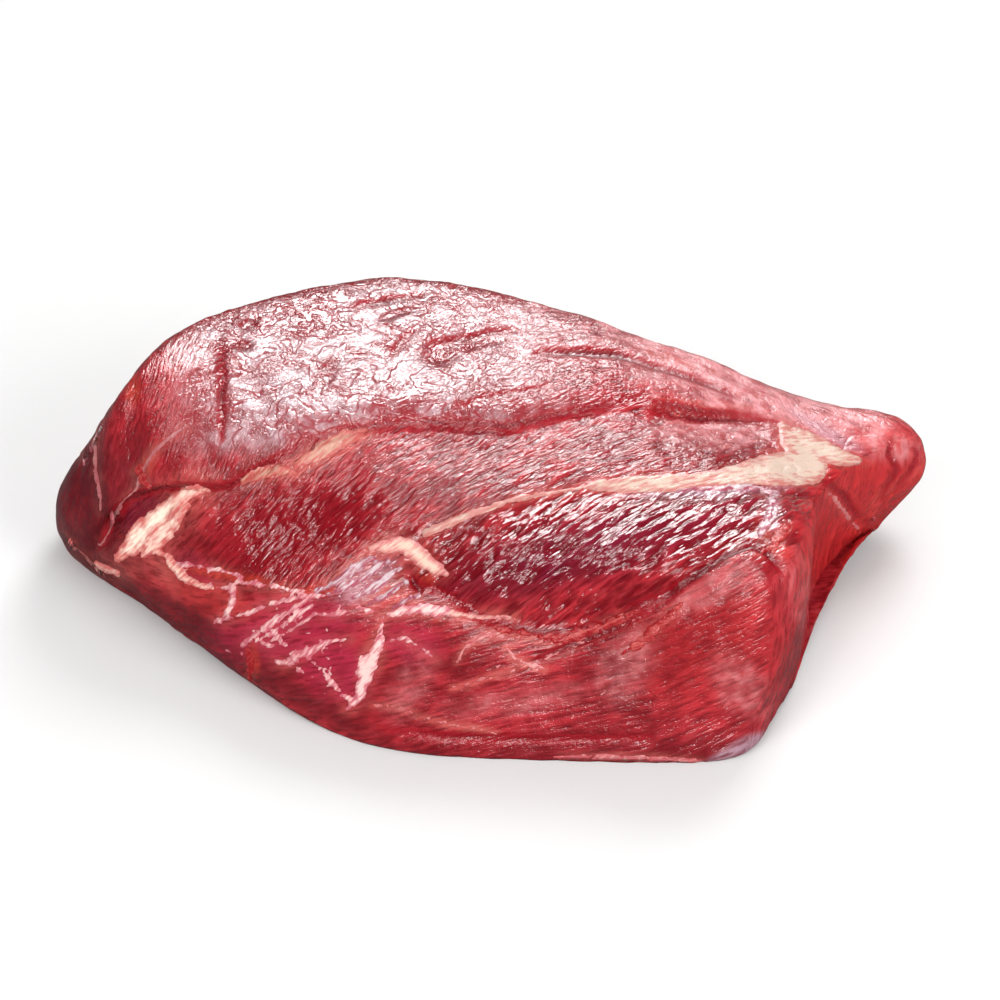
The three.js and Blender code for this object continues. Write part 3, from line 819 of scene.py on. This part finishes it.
# A slab of tissue: the meat's surface on a finer grid of the viewer's plane, proud of the meat
# inside the strokes and sunk in it outside, a copy below it, and walls round the cells kept.
def makeTissue(name):
    look, shape = tissues[name], tissueShape
    spots = np.array([spot for path in look["strokes"] for spot in path])
    low, high = spots[:, :2].min(0) - 4, spots[:, :2].max(0) + 4
    axes = [np.arange(a, b, look["step"]) for a, b in zip(low, high)]
    across, up = np.meshgrid(*axes, indexing="ij")
    size = across.shape
    towards, missed = seenDirections(across.ravel(), up.ravel())
    points = mainSurface(towards)
    grid = points.reshape(*size, 3)
    normals = np.cross(np.gradient(grid, axis=0), np.gradient(grid, axis=1)).reshape(-1, 3)
    normals /= np.maximum(np.linalg.norm(normals, axis=1, keepdims=True), 1e-9)
    lift, info = fineRise(points, normals)
    field = tissueField(look, info["share"]["across"], info["share"]["up"], points)
    field = np.where(missed < 1, field, -30)
    proud = smooth(field, -1.1, 1.1) * (look["proud"] + shape["hidden"]) - shape["hidden"]
    streaks = 0.12 * latticeNoise(info["systems"]["band"] / np.array([6, 0.8, 1.2]), 78)
    top = points + normals * (lift + proud + streaks * smooth(field, 0, 1))[:, None]
    bottom = points + normals * (lift - shape["thick"])[:, None]
    code = np.arange(across.size).reshape(size)
    cells = [field.reshape(size)[x:x + size[0] - 1, y:y + size[1] - 1] for x in (0, 1) for y in (0, 1)]
    kept = (np.max(cells, axis=0) > -shape["margin"]) & (np.min(cells, axis=0) > -20)
    a, b, c, d = code[:-1, :-1], code[1:, :-1], code[1:, 1:], code[:-1, 1:]
    under = across.size
    faces = [np.stack([a, b, c, d], -1)[kept], np.stack([d, c, b, a], -1)[kept] + under]
    padded = np.pad(kept, 1)
    sides = [(a, b, padded[1:-1, :-2]), (b, c, padded[2:, 1:-1]), (c, d, padded[1:-1, 2:]), (d, a, padded[:-2, 1:-1])]
    for first, second, neighbour in sides:
        edge = kept & ~neighbour
        faces.append(np.stack([second, first, first + under, second + under], -1)[edge])
    faces = np.concatenate(faces)
    used, faces = np.unique(faces, return_inverse=True)
    points = np.concatenate([top, bottom])[used]
    points[:, 2] = np.maximum(points[:, 2], 0.02)
    piece = makeMesh(name, points, faces.reshape(-1, 4).tolist())
    addValues(piece, "field", np.concatenate([field, field])[used])
    addValues(piece, "grain", np.tile(info["systems"]["band"], (2, 1))[used] * mm)
    return piece


# Millimetres inside the tissue, with a torn rim. A net of finer threads joins the strokes where
# the look asks for one: they follow the lines on which a noise is zero.
def tissueField(look, across, up, points):
    field = insideStrokes(look["strokes"], across, up)
    for x, y, long_, wide, turn, half, cell in look.get("nets", []):
        c, s = math.cos(math.radians(turn)), math.sin(math.radians(turn))
        dx, dy = across - x, up - y
        reach = np.hypot((dx * c + dy * s) / long_, (dy * c - dx * s) / wide)
        spot = np.stack([(dx * c + dy * s) / (2 * cell), (dy * c - dx * s) / cell, 0 * dx], 1)
        net = half - 0.9 * cell * abs(roughNoise(spot + 31, 95)) - 2.5 * np.maximum(0, reach - 0.8)
        field = np.maximum(field, net)
    return field + look["ragged"] * (roughNoise(points / 2.6, 71) + 0.5 * roughNoise(points / 0.9, 77))


# shader node groups

# Adds a node and sets its inputs; a value may be a number, a colour or another node's output.
def addNode(tree, kind, inputs=None, **settings):
    node = tree.nodes.new(kind)
    for key, value in settings.items():
        setattr(node, key, value)
    for key, value in (inputs or {}).items():
        if isinstance(value, bpy.types.NodeSocket):
            tree.links.new(value, node.inputs[key])
        else:
            node.inputs[key].default_value = value
    return node


def startGroup(name, inputs, outputs):
    group = bpy.data.node_groups.new(name, "ShaderNodeTree")
    for label, kind, value in inputs:
        socket = group.interface.new_socket(label, in_out="INPUT", socket_type=kind)
        if value is not None:
            socket.default_value = value
    for label, kind in outputs:
        group.interface.new_socket(label, in_out="OUTPUT", socket_type=kind)
    return group, group.nodes.new("NodeGroupInput").outputs, group.nodes.new("NodeGroupOutput").inputs


def maths(tree, operation, a, b=0.0, clamp=False):
    return addNode(tree, "ShaderNodeMath", {0: a, 1: b}, operation=operation, use_clamp=clamp).outputs[0]


# A value spread from one range on to another, held at its ends.
def spread(tree, value, low, high, start=0.0, end=1.0):
    inputs = {"Value": value, "From Min": low, "From Max": high, "To Min": start, "To Max": end}
    return addNode(tree, "ShaderNodeMapRange", inputs).outputs["Result"]


def mixColours(tree, share, a, b, blend="MIX"):
    node = addNode(tree, "ShaderNodeMix", {0: share, 6: a, 7: b}, data_type="RGBA", blend_type=blend)
    return node.outputs[2]


# Noise stretched along the fibres: the grain places are squeezed along before the noise. The
# valleys are where the noise is low.
def fibreGroup():
    inputs = [("Grain", "NodeSocketVector", None), ("Width", "NodeSocketFloat", 0.001),
              ("Stretch", "NodeSocketFloat", 6.0), ("Detail", "NodeSocketFloat", 2.0)]
    outputs = [("Height", "NodeSocketFloat"), ("Valley", "NodeSocketFloat"), ("Line", "NodeSocketFloat")]
    group, given, result = startGroup("fibreNoise", inputs, outputs)
    parts = addNode(group, "ShaderNodeSeparateXYZ", {0: given["Grain"]}).outputs
    along = maths(group, "DIVIDE", maths(group, "DIVIDE", parts[0], given["Width"]), given["Stretch"])
    beside = maths(group, "DIVIDE", parts[1], given["Width"])
    below = maths(group, "DIVIDE", parts[2], given["Width"])
    spot = addNode(group, "ShaderNodeCombineXYZ", {0: along, 1: beside, 2: below}).outputs[0]
    inputs = {"Vector": spot, "Scale": 1.0, "Detail": given["Detail"], "Roughness": 0.5}
    height = spread(group, addNode(group, "ShaderNodeTexNoise", inputs).outputs[0], 0.25, 0.75)
    group.links.new(height, result["Height"])
    group.links.new(spread(group, height, 0.2, 0.5, 1.0, 0.0), result["Valley"])
    away = maths(group, "ABSOLUTE", maths(group, "SUBTRACT", height, 0.5))
    group.links.new(spread(group, away, 0.0, 0.14, 1.0, 0.0), result["Line"])
    return group


# A mask with a torn edge: a field in millimetres, roughened by noise, cut off at zero.
def tornGroup():
    inputs = [("Field", "NodeSocketFloat", 0.0), ("Raggedness", "NodeSocketFloat", 1.0),
              ("Softness", "NodeSocketFloat", 0.3), ("Size", "NodeSocketFloat", 600.0)]
    group, given, result = startGroup("tornMask", inputs, [("Mask", "NodeSocketFloat")])
    place = addNode(group, "ShaderNodeTexCoord").outputs["Object"]
    noise = addNode(group, "ShaderNodeTexNoise", {"Vector": place, "Scale": given["Size"], "Detail": 4.0}).outputs[0]
    centred = maths(group, "SUBTRACT", noise, 0.5)
    ragged = maths(group, "ADD", given["Field"], maths(group, "MULTIPLY", centred, given["Raggedness"]))
    mask = spread(group, maths(group, "DIVIDE", ragged, given["Softness"]), -1.0, 1.0)
    group.links.new(mask, result["Mask"])
    return group


# Small rounded wet bumps in two sizes, which break the glare up.
def glistenGroup():
    inputs = [("Size", "NodeSocketFloat", 700.0), ("Mix", "NodeSocketFloat", 0.5)]
    group, given, result = startGroup("glisten", inputs, [("Height", "NodeSocketFloat")])
    place = addNode(group, "ShaderNodeTexCoord").outputs["Object"]
    large = addNode(group, "ShaderNodeTexNoise", {"Vector": place, "Scale": given["Size"], "Detail": 2.0}).outputs[0]
    twice = maths(group, "MULTIPLY", given["Size"], 2.7)
    small = addNode(group, "ShaderNodeTexNoise", {"Vector": place, "Scale": twice, "Detail": 2.0}).outputs[0]
    node = addNode(group, "ShaderNodeMix", {0: given["Mix"], 2: large, 3: small}, data_type="FLOAT")
    group.links.new(node.outputs[0], result["Height"])
    return group


# Wrinkles of a wet skin: thin branching lines, 1 on the line, where warped noise is at its mean.
def wrinkleGroup():
    inputs = [("Size", "NodeSocketFloat", 260.0), ("Line", "NodeSocketFloat", 0.03)]
    group, given, result = startGroup("wrinkles", inputs, [("Lines", "NodeSocketFloat")])
    place = addNode(group, "ShaderNodeTexCoord").outputs["Object"]
    noise = addNode(group, "ShaderNodeTexNoise", {"Vector": place, "Detail": 2.0, "Distortion": 0.6})
    group.links.new(given["Size"], noise.inputs["Scale"])
    away = maths(group, "ABSOLUTE", maths(group, "SUBTRACT", noise.outputs[0], 0.5))
    group.links.new(spread(group, maths(group, "DIVIDE", away, given["Line"]), 0.0, 1.0, 1.0, 0.0), result["Lines"])
    return group


groups = {"fibre": fibreGroup(), "torn": tornGroup(), "glisten": glistenGroup(), "wrinkles": wrinkleGroup()}

# materials

meatFinish = {
    "deepRed": (0.17, 0.0050, 0.0090, 1),
    "brightRed": (0.37, 0.019, 0.027, 1),
    # painted shade in the gaps and valleys between bundles and fibres, and deep in creases
    "gapShade": (0.115, 0.0008, 0.004, 1),
    "line": (0.24, 0.005, 0.012, 1),
    # painted shade: darker red along creases and slits
    "creaseShade": (0.26, 0.0040, 0.010, 1),
    "film": (0.46, 0.080, 0.092, 1),
    # a pale film on the crumpled lobe, partly painted sheen
    "lobeFilmSheen": (0.52, 0.42, 0.45, 1),
    "stain": (0.46, 0.10, 0.085, 1),
    "fat": (0.60, 0.43, 0.34, 1),
    "fatPink": (0.50, 0.22, 0.18, 1),
    "skin": (0.34, 0.15, 0.18, 1),
    "washes": {  # colour and share at full strength
        # painted shade
        "paintedShade": ((0.040, 0.0016, 0.0050, 1), 0.88),
        # painted shade in the recess and along slits and folds
        "deep": ((0.21, 0.0030, 0.0080, 1), 0.9),
        "purple": ((0.130, 0.0045, 0.020, 1), 0.85),
        "magenta": ((0.34, 0.014, 0.045, 1), 0.8),
        "orange": ((0.50, 0.040, 0.016, 1), 0.55),
        # painted light
        "paintedLight": ((0.50, 0.022, 0.022, 1), 0.8),
        # painted sheen
        "paintedSheen": ((0.62, 0.27, 0.28, 1), 0.85),
        # membrane grey, and painted shade
        "greyFilmAndShade": ((0.36, 0.22, 0.27, 1), 0.9),
    },
    "roughness": 0.17,
}


def startMaterial(name):
    material = bpy.data.materials.new(name)
    material.use_nodes = True
    tree = material.node_tree
    tree.nodes.clear()
    output = tree.nodes.new("ShaderNodeOutputMaterial")
    surface = tree.nodes.new("ShaderNodeBsdfPrincipled")
    tree.links.new(surface.outputs[0], output.inputs[0])
    return material, tree, surface


def attribute(tree, name, socket="Fac"):
    return addNode(tree, "ShaderNodeAttribute", attribute_name=name).outputs[socket]


def placeGroup(tree, name, inputs):
    node = tree.nodes.new("ShaderNodeGroup")
    node.node_tree = groups[name]
    for key, value in inputs.items():
        if isinstance(value, bpy.types.NodeSocket):
            tree.links.new(value, node.inputs[key])
        else:
            node.inputs[key].default_value = value
    return node.outputs


def meatMaterial():
    look = meatFinish
    material, tree, surface = startMaterial("rawMeat")
    place = addNode(tree, "ShaderNodeTexCoord").outputs["Object"]
    grain = attribute(tree, "grain", "Vector")
    fine = placeGroup(tree, "fibre", {"Grain": grain, "Width": 0.0012, "Stretch": 6.0})
    broad = placeGroup(tree, "fibre", {"Grain": grain, "Width": 0.0028, "Stretch": 4.5, "Detail": 1.0})
    wet = placeGroup(tree, "glisten", {"Size": 760.0, "Mix": 0.4})["Height"]
    crumpled = attribute(tree, "crumpled")
    folds = placeGroup(tree, "wrinkles", {"Size": 105.0, "Line": 0.045})["Lines"]
    wrinkles = placeGroup(tree, "wrinkles", {"Size": 250.0, "Line": 0.055})["Lines"]
    creases = placeGroup(tree, "wrinkles", {"Size": 560.0, "Line": 0.10})["Lines"]
    patches = addNode(tree, "ShaderNodeTexNoise", {"Vector": place, "Scale": 70.0, "Detail": 2.0}).outputs[0]
    wrinkles = maths(tree, "MULTIPLY", wrinkles, spread(tree, patches, 0.38, 0.6, 0.2, 1.0))
    wrinkles = maths(tree, "ADD", wrinkles, maths(tree, "MULTIPLY", creases, 0.35))
    wrinkles = maths(tree, "MULTIPLY", maths(tree, "MAXIMUM", wrinkles, folds), crumpled)
    strands = placeGroup(tree, "fibre", {"Grain": grain, "Width": 0.0026, "Stretch": 3.5, "Detail": 2.0})["Line"]
    strands = maths(tree, "MULTIPLY", strands, attribute(tree, "stranded"))
    wrinkles = maths(tree, "MAXIMUM", wrinkles, strands)
    swell = addNode(tree, "ShaderNodeTexNoise", {"Vector": place, "Scale": 220.0, "Detail": 1.0}).outputs[0]
    clouds = addNode(tree, "ShaderNodeTexNoise", {"Vector": place, "Scale": 38.0, "Detail": 4.0}).outputs[0]
    # the painted sheen's region, which is also rougher and has calmer bumps
    coarse, paintedSheen = attribute(tree, "coarse"), attribute(tree, "paintedSheen")
    bundled = maths(tree, "ADD", attribute(tree, "bundled"), maths(tree, "MULTIPLY", coarse, 0.7), clamp=True)
    streaked = maths(tree, "MULTIPLY", attribute(tree, "streaked"), spread(tree, coarse, 0.0, 1.0, 1.0, 0.35))
    streaked = maths(tree, "MULTIPLY", streaked, spread(tree, paintedSheen, 0.0, 0.8, 1.0, 0.1))
    mottle = addNode(tree, "ShaderNodeTexNoise", {"Vector": place, "Scale": 170.0, "Detail": 4.0}).outputs[0]
    # red, darker and brighter in clouds and along the fibres
    tone = maths(tree, "ADD", maths(tree, "MULTIPLY", clouds, 1.0), maths(tree, "MULTIPLY", broad["Height"], 0.25))
    tone = maths(tree, "ADD", tone, maths(tree, "MULTIPLY", fine["Height"], 0.3))
    tone = maths(tree, "ADD", tone, maths(tree, "MULTIPLY", mottle, 0.7))
    colour = mixColours(tree, spread(tree, tone, 0.93, 1.33), look["deepRed"], look["brightRed"])
    # a thin pale film in long patches
    filmed = placeGroup(tree, "fibre", {"Grain": grain, "Width": 0.0045, "Stretch": 3.0, "Detail": 4.0})["Height"]
    film = spread(tree, maths(tree, "ADD", filmed, maths(tree, "MULTIPLY", fine["Height"], 0.3)), 0.85, 1.2, 0.0, 0.25)
    colour = mixColours(tree, film, colour, look["film"])
    colour = mixColours(tree, maths(tree, "MULTIPLY", crumpled, 0.55), colour, look["deepRed"])
    # pale film on the lobe, partly painted sheen, only where it faces the viewer
    pale = maths(tree, "MULTIPLY", attribute(tree, "filmed"), spread(tree, patches, 0.35, 0.6, 0.75, 0.3))
    pale = maths(tree, "MULTIPLY", pale, spread(tree, mottle, 0.42, 0.58, 0.35, 1.2))
    colour = mixColours(tree, pale, colour, look["lobeFilmSheen"])
    stain = maths(tree, "MULTIPLY", attribute(tree, "stain"), spread(tree, clouds, 0.35, 0.6, 0.2, 0.8))
    colour = mixColours(tree, stain, colour, look["stain"])
    # washes of colour; among them painted shade, painted sheen and painted light
    for name, (tint, share) in look["washes"].items():
        broken = spread(tree, mottle, 0.35, 0.65, 0.75, 1.25)
        # the painted sheen is broken into patches
        if name == "paintedSheen":
            broken = maths(tree, "MULTIPLY", spread(tree, mottle, 0.42, 0.60, 0.45, 1.4), spread(tree, swell, 0.3, 0.7, 0.6, 1.4))
        if name == "greyFilmAndShade":
            broken = maths(tree, "ADD", broken, maths(tree, "SUBTRACT", fine["Height"], 0.5))
        patchy = maths(tree, "MULTIPLY", attribute(tree, name), broken, clamp=True)
        colour = mixColours(tree, maths(tree, "MULTIPLY", patchy, share), colour, tint)
    # painted shade in the valleys of the bundles and fibres and in the gaps
    valleyShade = maths(tree, "MULTIPLY", broad["Valley"], spread(tree, bundled, 0.0, 1.0, 0.2, 0.8))
    grooveShade = maths(tree, "MULTIPLY", fine["Valley"], spread(tree, streaked, 0.0, 1.0, 0.35, 0.7))
    gapShade = maths(tree, "MAXIMUM", spread(tree, attribute(tree, "shadedGaps"), 0.3, 0.95, 0.0, 0.6), valleyShade)
    gapShade = maths(tree, "MULTIPLY", maths(tree, "MAXIMUM", gapShade, grooveShade), spread(tree, paintedSheen, 0.0, 1.0, 1.0, 0.3))
    colour = mixColours(tree, gapShade, colour, look["gapShade"])
    lines = maths(tree, "MULTIPLY", wrinkles, spread(tree, paintedSheen, 0.0, 1.0, 0.85, 0.3))
    colour = mixColours(tree, lines, colour, look["line"])
    # painted shade in the creases: darker red at their rims, the gap colour deeper in
    crease = attribute(tree, "crease")
    colour = mixColours(tree, spread(tree, crease, 0.03, 0.35, 0.0, 0.85), colour, look["creaseShade"])
    colour = mixColours(tree, spread(tree, crease, 0.35, 1.0, 0.0, 0.85), colour, look["gapShade"])
    skin = placeGroup(tree, "torn", {"Field": attribute(tree, "skin"), "Raggedness": 4.0, "Softness": 2.5,
                                     "Size": 160.0})["Mask"]
    colour = mixColours(tree, maths(tree, "MULTIPLY", skin, 0.5), colour, look["skin"])
    fat = placeGroup(tree, "torn", {"Field": attribute(tree, "fat"), "Raggedness": 4.0, "Softness": 0.5,
                                    "Size": 260.0})["Mask"]
    fatTone = maths(tree, "ADD", maths(tree, "MULTIPLY", clouds, 0.6), maths(tree, "MULTIPLY", broad["Height"], 0.4))
    fatTone = mixColours(tree, spread(tree, fatTone, 0.35, 0.6), look["fatPink"], look["fat"])
    colour = mixColours(tree, fat, colour, fatTone)
    tree.links.new(colour, surface.inputs["Base Color"])
    # the wet bumps are weaker where the bundles are coarse
    calm = spread(tree, maths(tree, "MAXIMUM", bundled, coarse), 0.0, 1.0, 1.0, 0.22)
    # relief in millimetres: bundles, fibres, wet bumps and wrinkles, all weaker on fat
    parts = [
        maths(tree, "MULTIPLY", broad["Height"], spread(tree, bundled, 0.0, 1.0, 0.25, 1.25)),
        maths(tree, "MULTIPLY", fine["Height"], spread(tree, streaked, 0.0, 1.0, 0.10, 0.75)),
        maths(tree, "MULTIPLY", fine["Height"], maths(tree, "MULTIPLY", bundled, 0.3)),
        maths(tree, "MULTIPLY", wet, maths(tree, "MULTIPLY", calm, spread(tree, crumpled, 0.0, 1.0, 0.40, 0.10))),
        maths(tree, "MULTIPLY", swell, maths(tree, "MULTIPLY", crumpled, 0.4)),
        maths(tree, "MULTIPLY", wrinkles, spread(tree, paintedSheen, 0.0, 1.0, -0.24, -0.08)),
        maths(tree, "MULTIPLY", attribute(tree, "crease"), -0.6),
        maths(tree, "MULTIPLY", attribute(tree, "deep"), maths(tree, "MULTIPLY", crumpled, -1.6)),
    ]
    height = parts[0]
    for part in parts[1:]:
        height = maths(tree, "ADD", height, part)
    height = maths(tree, "MULTIPLY", height, spread(tree, fat, 0.0, 1.0, 1.0, 0.4))
    bump = addNode(tree, "ShaderNodeBump", {"Height": height, "Distance": mm, "Strength": 1.0})
    tree.links.new(bump.outputs[0], surface.inputs["Normal"])
    rough = spread(tree, wet, 0.3, 0.7, look["roughness"] - 0.05, look["roughness"] + 0.07)
    rough = maths(tree, "ADD", rough, maths(tree, "MULTIPLY", paintedSheen, 0.14))
    rough = maths(tree, "ADD", rough, maths(tree, "MULTIPLY", bundled, -0.04))
    rough = maths(tree, "ADD", rough, maths(tree, "MULTIPLY", attribute(tree, "crease"), 0.1))
    tree.links.new(rough, surface.inputs["Roughness"])
    surface.inputs["IOR"].default_value = 1.5
    surface.inputs["Subsurface Weight"].default_value = 0.12
    surface.inputs["Subsurface Radius"].default_value = (1.0, 0.3, 0.2)
    surface.inputs["Subsurface Scale"].default_value = 0.004
    return material


# Fat and fascia: thin pink tissue at the rim of a stroke, thick pale tissue inside it, in
# streaks along the grain.
def tissueMaterial(name):
    look = tissues[name]
    material, tree, surface = startMaterial(name)
    place = addNode(tree, "ShaderNodeTexCoord").outputs["Object"]
    fine = placeGroup(tree, "fibre", {"Grain": attribute(tree, "grain", "Vector"), "Width": 0.0009, "Stretch": 8.0})
    wet = placeGroup(tree, "glisten", {"Size": 700.0, "Mix": 0.5})["Height"]
    clouds = addNode(tree, "ShaderNodeTexNoise", {"Vector": place, "Scale": 80.0, "Detail": 2.0}).outputs[0]
    level = maths(tree, "DIVIDE", attribute(tree, "field"), look["filled"])
    level = maths(tree, "ADD", level, maths(tree, "MULTIPLY", maths(tree, "SUBTRACT", clouds, 0.5), 1.2))
    streaks = maths(tree, "MULTIPLY", maths(tree, "SUBTRACT", fine["Height"], 0.5), look.get("streaks", 0.8))
    level = maths(tree, "ADD", level, streaks)
    colour = mixColours(tree, spread(tree, level, 0.1, 1.1), look["thin"], look["thick"])
    tree.links.new(colour, surface.inputs["Base Color"])
    height = maths(tree, "ADD", maths(tree, "MULTIPLY", wet, 0.35), maths(tree, "MULTIPLY", fine["Height"], 0.16))
    height = maths(tree, "MULTIPLY", height, look.get("bumps", 1.0))
    bump = addNode(tree, "ShaderNodeBump", {"Height": height, "Distance": mm, "Strength": 1.0})
    tree.links.new(bump.outputs[0], surface.inputs["Normal"])
    surface.inputs["Roughness"].default_value = look.get("roughness", 0.34)
    surface.inputs["IOR"].default_value = 1.42
    surface.inputs["Subsurface Weight"].default_value = 0.2
    surface.inputs["Subsurface Radius"].default_value = (1.0, 0.5, 0.4)
    surface.inputs["Subsurface Scale"].default_value = 0.003
    return material


def addToBrisket(piece, material):
    piece.data.materials.append(material)
    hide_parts("brisket")
    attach(piece, "root")
    print(piece.name, "made,", len(piece.data.polygons), "faces")


addToBrisket(makeBrisket(), meatMaterial())
for name in tissues:
    addToBrisket(makeTissue(name), tissueMaterial(name))

# camera, floor and lights


def addCamera():
    data = bpy.data.cameras.new("camera")
    data.lens = viewing["lens"]
    camera = bpy.data.objects.new("camera", data)
    aim = Vector(viewing["aim"]) * mm
    camera.location = aim + Vector(viewer) * viewing["distance"] * mm
    camera.rotation_euler = (math.radians(90 - viewing["lift"]), 0, 0)
    bpy.context.scene.collection.objects.link(camera)
    bpy.context.scene.camera = camera


lights = {  # name: (facing, lift, distance in metres, width, height, watts, lights up: gloss or colour)
    "sheen": (92, 38, 1.3, 0.9, 0.48, 38, "gloss"),
    "leftSheen": (-178, 68, 1.3, 0.35, 0.35, 9, "gloss"),
    "frontSheen": (-75, 26, 1.5, 0.8, 0.45, 26, "gloss"),
    "key": (60, 50, 1.3, 0.6, 0.6, 12, "colour"),
    "frontLeft": (-130, 32, 1.5, 0.8, 0.8, 15, "colour"),
    "frontRight": (-45, 32, 1.5, 0.8, 0.8, 17, "colour"),
}
sky = {"level": 0.5, "top": 0.75, "seen": 0.9, "mirrored": 0.09}


def addLights():
    for name, (facing, lift, distance, width, height, watts, kind) in lights.items():
        data = bpy.data.lights.new(name, "AREA")
        data.shape = "RECTANGLE"
        data.size = width
        data.size_y = height
        data.energy = watts
        lamp = bpy.data.objects.new(name, data)
        place = Vector(direction(facing, lift)) * distance
        lamp.location = place
        lamp.rotation_euler = place.to_track_quat("Z", "Y").to_euler()
        lamp.visible_diffuse = kind == "colour"
        lamp.visible_glossy = kind == "gloss"
        bpy.context.scene.collection.objects.link(lamp)


# A sky that is dim at the level and bright above, and evenly pale where it is seen directly.
def addSky():
    world = bpy.data.worlds.new("world")
    world.use_nodes = True
    tree = world.node_tree
    lift = addNode(tree, "ShaderNodeSeparateXYZ", {0: addNode(tree, "ShaderNodeTexCoord").outputs["Generated"]}).outputs[2]
    glow = spread(tree, lift, 0.0, 0.9, sky["level"], sky["top"])
    rays = addNode(tree, "ShaderNodeLightPath").outputs
    strength = maths(tree, "MULTIPLY", glow, spread(tree, rays["Is Glossy Ray"], 0.0, 1.0, 1.0, sky["mirrored"]))
    inputs = {0: rays["Is Camera Ray"], 2: strength, 3: sky["seen"]}
    strength = addNode(tree, "ShaderNodeMix", inputs, data_type="FLOAT").outputs[0]
    tree.links.new(strength, tree.nodes["Background"].inputs["Strength"])
    tree.nodes["Background"].inputs["Color"].default_value = (1, 1, 1, 1)
    bpy.context.scene.world = world
    bpy.context.scene.view_settings.view_transform = "Standard"


def addFloor():
    mesh = bpy.data.meshes.new("floor")
    half = 3.0
    mesh.from_pydata([(-half, -half, 0), (half, -half, 0), (half, half, 0), (-half, half, 0)], [], [(0, 1, 2, 3)])
    floor = bpy.data.objects.new("floor", mesh)
    bpy.context.scene.collection.objects.link(floor)
    material, tree, surface = startMaterial("paleFloor")
    glossy = addNode(tree, "ShaderNodeLightPath").outputs["Is Glossy Ray"]
    tint = mixColours(tree, glossy, (0.6, 0.6, 0.6, 1), (0.1, 0.1, 0.1, 1))
    tree.links.new(tint, surface.inputs["Base Color"])
    surface.inputs["Roughness"].default_value = 1.0
    surface.inputs["Specular IOR Level"].default_value = 0.0
    mesh.materials.append(material)


addCamera()
addLights()
addSky()
addFloor()
print("stage set")
